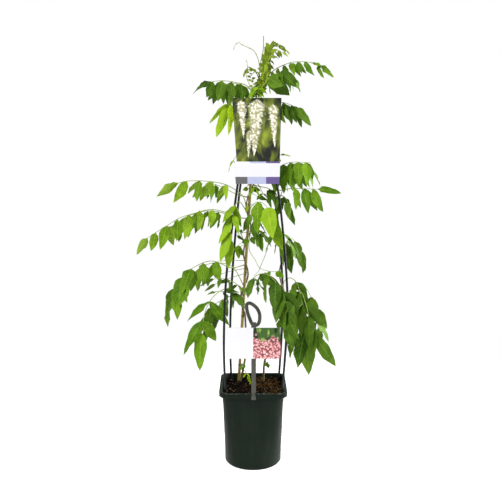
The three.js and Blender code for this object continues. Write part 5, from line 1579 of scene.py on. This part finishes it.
def stalk(whole, leaf, route):
    """Adds a leaf's stalk: a swollen joint at its stem, and a little swelling at each pair."""
    steps = max(round(route.length / STALK_STEP), STALK_STEPS)
    pairs = [pair_reach(leaf, pair) for pair in range(leaf["pairs"])]
    foot = leaf["thick"] * STALK_SLIM
    radii = []
    for i in range(steps + 1):
        reach = i / steps
        radius = foot + (RACHIS_TIP * STALK_TIP_SLIM - foot) * reach
        radius += FOOT_SWELL * (1 - smooth(reach * route.length, *FOOT_REACH))
        away = min(abs(reach - pair) * route.length for pair in pairs)
        radii.append(radius + PAIR_SWELL * (1 - smooth(away, *PAIR_REACH)))
    part = bmesh.new()
    bar(part, route.evenly(steps), radii, sides=8, material=1)
    base = part.faces.layers.float.new("base")
    start = route.along(0)
    for face in part.faces:
        face[base] = 1 - smooth((face.calc_center_median() - start).length, *BROWN_FOOT)
    absorb(whole, part)


# Single leaves on short stalks along the main stem: the height where the stalk leaves the stem, the
# leaf's middle, degrees that it is turned from hanging, to the right if more than 0, its length, half
# its width, and its tone.
SMALL_LEAVES = [
    (706, (-19, -14, 702), -75, 17, 6, "bright"), (708, (7, -8, 701), 80, 20, 7.5, "deep"),
    (690, (20, -10, 681), 72, 25, 6, "deep"), (694, (-8, -16, 690), 10, 12, 4.5, "bright"),
    (600, (23, -22, 590), 30, 17, 8, "deep"), (590, (14, -20, 574), 6, 20, 7.5, "deep"),
    (584, (0, -16, 574), 24, 25, 7, "leaf"), (586, (-18, -20, 571), 8, 23, 9.5, "leaf"),
    (566, (-37, -22, 548), -4, 36, 9.5, "bright"), (560, (-30, -20, 548), 24, 22, 6, "leaf"),
    (604, (-30, -14, 598), -80, 11, 5, "deep"), (594, (-33, -18, 583), 58, 19, 4, "deep"),
    (668, (-16, -18, 655), -20, 16, 4.5, "bright"), (664, (6, -14, 655), 30, 15, 5, "deep"),
    (462, (12, -12, 452), 20, 14, 5, "deep"), (626, (-14, -16, 617), -30, 12, 4, "leaf"),
    (520, (-92, -14, 508), -12, 30, 11, "leaf"), (500, (-90, -12, 490), -86, 27, 4, "deep"),
    (488, (-108, -14, 457), -60, 34, 4.5, "deep"),
]
# Dense young growth near the top: from where to where it runs, how many leaflets, their length,
# how steeply they point up, and their tone.
TUFTS = [
    ((20, -12, 936), (30, -15, 972), 24, 17, 0.9, "young"),
    ((30, -15, 968), (32, -15, 1006), 24, 20, 1.6, "young"),
    ((32, -15, 1004), (38, -16, 1036), 20, 18, 1.7, "young"),
    ((9, -8, 926), (18, -6, 958), 16, 20, 0.1, "leaf"),
    ((14, -4, 950), (18, -4, 996), 8, 10, 1.2, "young"),
    ((2, -12, 944), (-12, -20, 990), 12, 12, 0.3, "young"),
    ((40, -12, 1040), (56, -14, 1044), 8, 10, 0.2, "young"),
]
TUFT_TURN = 2.4  # radians from one leaflet of a tuft to the next
TUFT_DEPTH = 0.6  # of its reach to the sides
TUFT_SPREAD = 0.6  # by which the rise of its leaflets differs
TUFT_WIDE = 0.26  # half a leaflet's width as a share of its length
BARE_TWIG = [(36, -36, 559), (27, -37, 535), (18, -38, 514), (13, -36, 500), (1, -30, 489)]
BARE_TWIG_RADII = (0.7, 0.7, 0.7, 0.6, 0.4)
SMALL_STALK_RADII = (0.8, 0.6, 0.45)
SMALL_FORWARD = Vector((0, -0.25, 0))
ELBOW = 0.6  # of a small leaf's stalk, where it bends, and how far it rises there
ELBOW_RISE = 2
SMALL_SWING = 0.8
LOOSE_UP = 0.4  # how far small leaves face up
LOOSE_LENGTH = (0.85, 0.3)  # the least of their length and curl, and what chance adds to it
LOOSE_CURL = (0.1, 0.2)
LOOSE_FOLD = 0.24


def loose_leaflet(root, along, normal, length, half, seed, index):
    """A leaflet that is set one by one, a little different from its neighbours."""
    along = along.normalized()
    normal = (normal - along * normal.dot(along)).normalized()
    length *= LOOSE_LENGTH[0] + LOOSE_LENGTH[1] * chance(seed, index, 1)
    curl = LOOSE_CURL[0] + LOOSE_CURL[1] * chance(seed, index, 2)
    return Leaflet(root, along, normal, length, half, curl, LOOSE_FOLD,
                   PHASE_SPAN * chance(seed, index, 3), chance(seed, index, 4) - 0.5)


def small_leaf(whole, seed, height, middle, turn, length, half, tone):
    """Adds one leaf on a thin stalk off the main stem."""
    material = TONE_PLACES[tone]
    root = on_stem(STEMS["main"], height)
    turn = math.radians(turn)
    along = (Vector((math.sin(turn), 0, -math.cos(turn))) + SMALL_FORWARD).normalized()
    base = Vector(middle) - along * (length / 2)
    elbow = root.lerp(base, ELBOW) + UP * ELBOW_RISE
    bar(whole, [root, elbow, base], SMALL_STALK_RADII, sides=6, material=material)
    normal = FRONT + UP * LOOSE_UP + Vector((SMALL_SWING * (chance(seed, 7, 5) - 0.5), 0, 0))
    blade(whole, loose_leaflet(base, along, normal, length, half, seed, 0), SMALL_BLADE, material)


def tuft(whole, seed, low, high, count, length, rise, tone):
    """Adds leaflets all round a line, each a different way."""
    low, high = Vector(low), Vector(high)
    for index in range(count):
        root = low.lerp(high, (index + 0.5) / count)
        turn = TUFT_TURN * index + chance(seed, index, 5)
        outward = Vector((math.cos(turn), TUFT_DEPTH * math.sin(turn), 0))
        along = outward + UP * (rise + TUFT_SPREAD * (chance(seed, index, 6) - 0.5))
        leaflet = loose_leaflet(root, along, FRONT + UP * LOOSE_UP, length, length * TUFT_WIDE,
                                seed, index)
        blade(whole, leaflet, SMALL_BLADE, TONE_PLACES[tone])


def make_small_leaves(materials):
    twigs, tufts = bmesh.new(), bmesh.new()
    for seed, entry in enumerate(SMALL_LEAVES):
        small_leaf(twigs, seed, *entry)
    bar(twigs, [Vector(mark) for mark in BARE_TWIG], BARE_TWIG_RADII, sides=6,
        material=TONE_PLACES["leaf"])
    for seed, entry in enumerate(TUFTS):
        tuft(tufts, seed, *entry)
    for name, whole in (("stem_leaflets", twigs), ("crown_tuft", tufts)):
        keep_inside(whole)
        finish_piece(name, whole, list(materials.values()), crease=50)


def make_leaves(settings):
    materials = {tone: leaf_material(tone) for tone in TONES}
    green = stalk_material("Leaf stalk", settings.stalk, settings.stalk_base)
    for leaf in FRONDS:
        route = Route([on_stem(STEMS[leaf["stem"]], leaf["height"]), *leaf["via"]])
        whole = bmesh.new()
        stalk(whole, leaf, route)
        for leaflet in grow_leaflets(leaf, route):
            blade(whole, leaflet, settings.blade)
        keep_inside(whole)
        finish_piece(f"leafy_{leaf['name']}", whole, [materials[leaf["tone"]], green],
                     [leaf["name"]], crease=50)
    make_small_leaves(materials)


# ---- strap ---------------------------------------------------------------------------------------

WAIST_LOW = 200.5  # heights between which the strap is narrower, at the rim
WAIST_HIGH = 208.6
WAIST_CUT = 1.7
WAIST_THIN = 0.5
RING_REACH = 3  # of the plain ring that the loop is bent from
GROOVE_PLACE = 0.36  # of the loop's two grooves, as shares of its half width
GROOVE_HALF = 0.12
GROOVE_DEPTH = 0.55
LOOP_STEP = 0.01  # of the loop, either side of a place, that its heading is read from
STRAP_EDGE = 0.45
WAIST_EDGE = 0.3
WAIST_LAP = 1  # by which the strap's blocks lap over each other, and over the loop
LOOP_LAP = 4
FOOT_BELOW = 2  # the strap reaches this far below the rim


def make_loop(strap):
    """The carry loop: a flat band with two grooves, bent round an eye that a finger goes through."""
    ring = bmesh.new()
    start = Matrix.Translation((RING_REACH, 0, 0)) @ Matrix.Rotation(math.pi / 2, 4, "X")
    bmesh.ops.create_circle(ring, segments=40, radius=1, matrix=start)
    bmesh.ops.spin(ring, geom=ring.verts[:] + ring.edges[:], cent=(0, 0, 0), axis=UP,
                   angle=AROUND, steps=96, use_merge=True)
    for vert in ring.verts:
        share = math.atan2(vert.co.y, vert.co.x) / AROUND
        across, deep = math.hypot(vert.co.x, vert.co.y) - RING_REACH, vert.co.z
        fuller = (abs(across) ** 3 + abs(deep) ** 3) ** (-1 / 3)
        away = (abs(across * fuller) - GROOVE_PLACE) / GROOVE_HALF
        groove = GROOVE_DEPTH * math.exp(-away * away)
        heading = loop_at(share + LOOP_STEP) - loop_at(share - LOOP_STEP)
        outward = Vector((heading.z, 0, -heading.x)).normalized()
        vert.co = loop_at(share) + outward * (across * fuller * LOOP_WIDE)
        vert.co.y += deep * fuller * LOOP_DEEP * (1 - groove)
    bmesh.ops.recalc_face_normals(ring, faces=ring.faces[:])
    absorb(strap, ring)


def make_strap(settings):
    """A flat strap hooked over the rim, with a loop at its top to carry the pot by."""
    strap = bmesh.new()
    left, right = STRAP_X - STRAP_WIDTH / 2, STRAP_X + STRAP_WIDTH / 2
    near = -(RIM_HALF + STRAP_GAP)
    face = near - STRAP_THICK
    over = POT_HEIGHT + STRAP_GAP
    inner = STRAP_INSIDE + STRAP_THICK
    cut_left, cut_right, cut_face = left + WAIST_CUT, right - WAIST_CUT, face + WAIST_THIN
    for low, high, edge in (
        ((left, face, WAIST_HIGH), (right, near, STRAP_TOP + LOOP_LAP), STRAP_EDGE),
        ((cut_left, cut_face, WAIST_LOW - WAIST_LAP), (cut_right, near, WAIST_HIGH + WAIST_LAP),
         WAIST_EDGE),
        ((left, face, RIM_UNDER - FOOT_BELOW), (right, near, WAIST_LOW), STRAP_EDGE),
        ((cut_left, cut_face, over), (cut_right, inner, over + STRAP_THICK), STRAP_EDGE),
        ((left, STRAP_INSIDE, STRAP_HOOK_FOOT), (right, inner, over + STRAP_THICK), STRAP_EDGE),
    ):
        block(strap, low, high, edge)
    make_loop(strap)
    # The dust colour on faces that look up is partly a painted highlight.
    body = plastic_material("Strap plastic", settings.strap, settings.strap_worn, settings.dust_and_highlight,
                            satin=0.45, relief=0.1)
    finish_piece("hook_and_loop", strap, [body], ["carry_strap"])


# ---- stage ---------------------------------------------------------------------------------------

# Where each lamp stands, the point that it faces, in metres, its width and its colour.
LAMPS = {
    "key": ((-1.3, -1.9, 2.3), (0, 0, 0.55), 1.3, (1.0, 0.99, 0.96)),
    "fill": ((1.9, -1.5, 1.2), (0, 0, 0.55), 1.6, (1, 1, 1)),
    "rim": ((2.1, 0.55, 0.8), (0, 0, 0.3), 1.6, (1, 1, 1)),
}
SENSOR = 36
FADE_FROM, FADE_TO = 0.35, 1.3  # the floor fades out between these distances, in metres


def make_light(name, power):
    spot, target, size, tint = LAMPS[name]
    lamp = bpy.data.lights.new(name, "AREA")
    lamp.shape = "DISK"
    lamp.size = size
    lamp.energy = power
    lamp.color = tint
    light = place_object(name, lamp)
    light.location = spot
    light.rotation_euler = (Vector(target) - Vector(spot)).to_track_quat("-Z", "Y").to_euler()


def make_world(strength):
    """White to look at, and softer as a light."""
    world = bpy.data.worlds.new("Soft white")
    world.use_nodes = True
    graph = Graph(world.node_tree)
    background = world.node_tree.nodes["Background"]
    seen = graph.add("ShaderNodeLightPath").outputs["Is Camera Ray"]
    graph.feed(background.inputs["Color"], (1, 1, 1, 1))
    graph.feed(background.inputs["Strength"], graph.math("MAXIMUM", seen, strength))
    bpy.context.scene.world = world


def make_floor(size):
    part = bmesh.new()
    bmesh.ops.create_grid(part, x_segments=1, y_segments=1, size=size / 2)
    floor = place_object("floor", new_mesh("floor", part))
    material, graph, shader = new_material("Pale floor", Roughness=0.9, Specular_IOR_Level=0.1,
                                           Emission_Color=(1, 1, 1, 1), Emission_Strength=0.45)
    speckle = graph.noise(graph.object_place(), 3.0)
    tint = graph.mix(speckle, (0.95, 0.95, 0.95, 1), (0.98, 0.98, 0.98, 1))
    graph.feed(shader["Base Color"], tint)
    away = graph.add("ShaderNodeVectorMath", {0: graph.object_place()}, operation="LENGTH")
    graph.feed(shader["Alpha"], graph.fall(away.outputs["Value"], FADE_FROM, FADE_TO))
    floor.data.materials.append(material)


def make_camera(settings):
    lens = bpy.data.cameras.new("camera")
    lens.lens = settings.lens
    lens.sensor_width = SENSOR
    camera = place_object("camera", lens)
    camera.location = (settings.aside, -settings.distance, settings.height)
    camera.rotation_euler = (math.pi / 2 - settings.tilt, 0, 0)
    bpy.context.scene.camera = camera


# ---- operators and panel -------------------------------------------------------------------------

GROUPS = {
    "Mottle": group_mottle, "Moulding": group_moulding, "Veins": group_veins, "Leaf": group_leaf,
    "Raceme": group_raceme, "Petals": group_petals, "Greenery": group_greenery,
}


def needs(*names):
    """Makes sure that shared shader groups are there, each built once."""
    for name in names:
        if name not in bpy.data.node_groups:
            GROUPS[name]()


class WISTERIA_OT_stage(bpy.types.Operator):
    """Set up the floor, the lights and the camera"""

    bl_idname = "wisteria.stage"
    bl_label = "Stage"

    def execute(self, context):
        settings = context.scene.wisteria_stage
        make_camera(settings)
        make_floor(settings.floor_size)
        make_world(settings.surround)
        for name in LAMPS:
            make_light(name, getattr(settings, name))
        context.scene.view_settings.view_transform = "Standard"
        return {"FINISHED"}


class WISTERIA_OT_pot(bpy.types.Operator):
    """Mould the pot"""

    bl_idname = "wisteria.pot"
    bl_label = "Pot"

    def execute(self, context):
        needs("Mottle", "Moulding")
        make_pot(context.scene.wisteria_pot)
        return {"FINISHED"}


class WISTERIA_OT_soil(bpy.types.Operator):
    """Fill the pot with soil and scatter crumbs on it"""

    bl_idname = "wisteria.soil"
    bl_label = "Soil"

    def execute(self, context):
        needs("Mottle")
        make_soil(context.scene.wisteria_pot)
        scatter_crumbs(context.scene.wisteria_pot)
        return {"FINISHED"}


class WISTERIA_OT_strap(bpy.types.Operator):
    """Hook the carry strap over the rim"""

    bl_idname = "wisteria.strap"
    bl_label = "Carry strap"

    def execute(self, context):
        needs("Mottle", "Moulding")
        make_strap(context.scene.wisteria_pot)
        return {"FINISHED"}


class WISTERIA_OT_cane(bpy.types.Operator):
    """Push the bamboo cane into the soil"""

    bl_idname = "wisteria.cane"
    bl_label = "Bamboo cane"

    def execute(self, context):
        needs("Mottle")
        make_cane(context.scene.wisteria_frame)
        return {"FINISHED"}


class WISTERIA_OT_trellis(bpy.types.Operator):
    """Stand the trellis in the pot"""

    bl_idname = "wisteria.trellis"
    bl_label = "Trellis"

    def execute(self, context):
        needs("Mottle", "Moulding")
        make_trellis(context.scene.wisteria_frame)
        return {"FINISHED"}


class WISTERIA_OT_stems(bpy.types.Operator):
    """Grow the stems, their buds and the leafless shoots"""

    bl_idname = "wisteria.stems"
    bl_label = "Stems"

    def execute(self, context):
        needs("Mottle")
        make_stems(context.scene.wisteria_plant)
        make_shoots()
        return {"FINISHED"}


class WISTERIA_OT_leaves(bpy.types.Operator):
    """Grow the leaves"""

    bl_idname = "wisteria.leaves"
    bl_label = "Leaves"

    def execute(self, context):
        needs("Mottle", "Veins", "Leaf")
        make_leaves(context.scene.wisteria_plant)
        return {"FINISHED"}


class WISTERIA_OT_prints(bpy.types.Operator):
    """Print the card and the label"""

    bl_idname = "wisteria.prints"
    bl_label = "Card and label"

    def execute(self, context):
        needs("Mottle", "Raceme", "Petals", "Greenery")
        dress("card", card_material(context.scene.wisteria_prints))
        dress("label", label_material(context.scene.wisteria_prints))
        return {"FINISHED"}


class WISTERIA_PT_panel(bpy.types.Panel):
    """Lists the pieces in the order in which they are made."""

    bl_idname = "WISTERIA_PT_panel"
    bl_label = "Wisteria in a pot"
    bl_space_type = "VIEW_3D"
    bl_region_type = "UI"
    bl_category = "Wisteria"

    def draw(self, context):
        for piece in PIECES:
            self.layout.operator(piece.bl_idname)
        for name, group in SETTINGS.items():
            box = self.layout.box()
            for key in group.__annotations__:
                box.prop(getattr(context.scene, name), key)


PIECES = [
    WISTERIA_OT_stage, WISTERIA_OT_pot, WISTERIA_OT_soil, WISTERIA_OT_strap, WISTERIA_OT_cane,
    WISTERIA_OT_trellis, WISTERIA_OT_stems, WISTERIA_OT_leaves, WISTERIA_OT_prints,
]
SETTINGS = {
    "wisteria_pot": WISTERIA_PG_pot, "wisteria_frame": WISTERIA_PG_frame,
    "wisteria_plant": WISTERIA_PG_plant, "wisteria_prints": WISTERIA_PG_prints,
    "wisteria_stage": WISTERIA_PG_stage,
}


def register():
    for name, group in SETTINGS.items():
        bpy.utils.register_class(group)
        setattr(bpy.types.Scene, name, PointerProperty(type=group))
    for piece in [*PIECES, WISTERIA_PT_panel]:
        bpy.utils.register_class(piece)


def unregister():
    for piece in [WISTERIA_PT_panel, *reversed(PIECES)]:
        bpy.utils.unregister_class(piece)
    for name, group in SETTINGS.items():
        delattr(bpy.types.Scene, name)
        bpy.utils.unregister_class(group)


def main():
    register()
    bpy.ops.wisteria.stage()
    bpy.ops.wisteria.pot()
    bpy.ops.wisteria.soil()
    bpy.ops.wisteria.strap()
    bpy.ops.wisteria.cane()
    bpy.ops.wisteria.trellis()
    bpy.ops.wisteria.stems()
    bpy.ops.wisteria.leaves()
    bpy.ops.wisteria.prints()


if __name__ == "__main__":
    main()
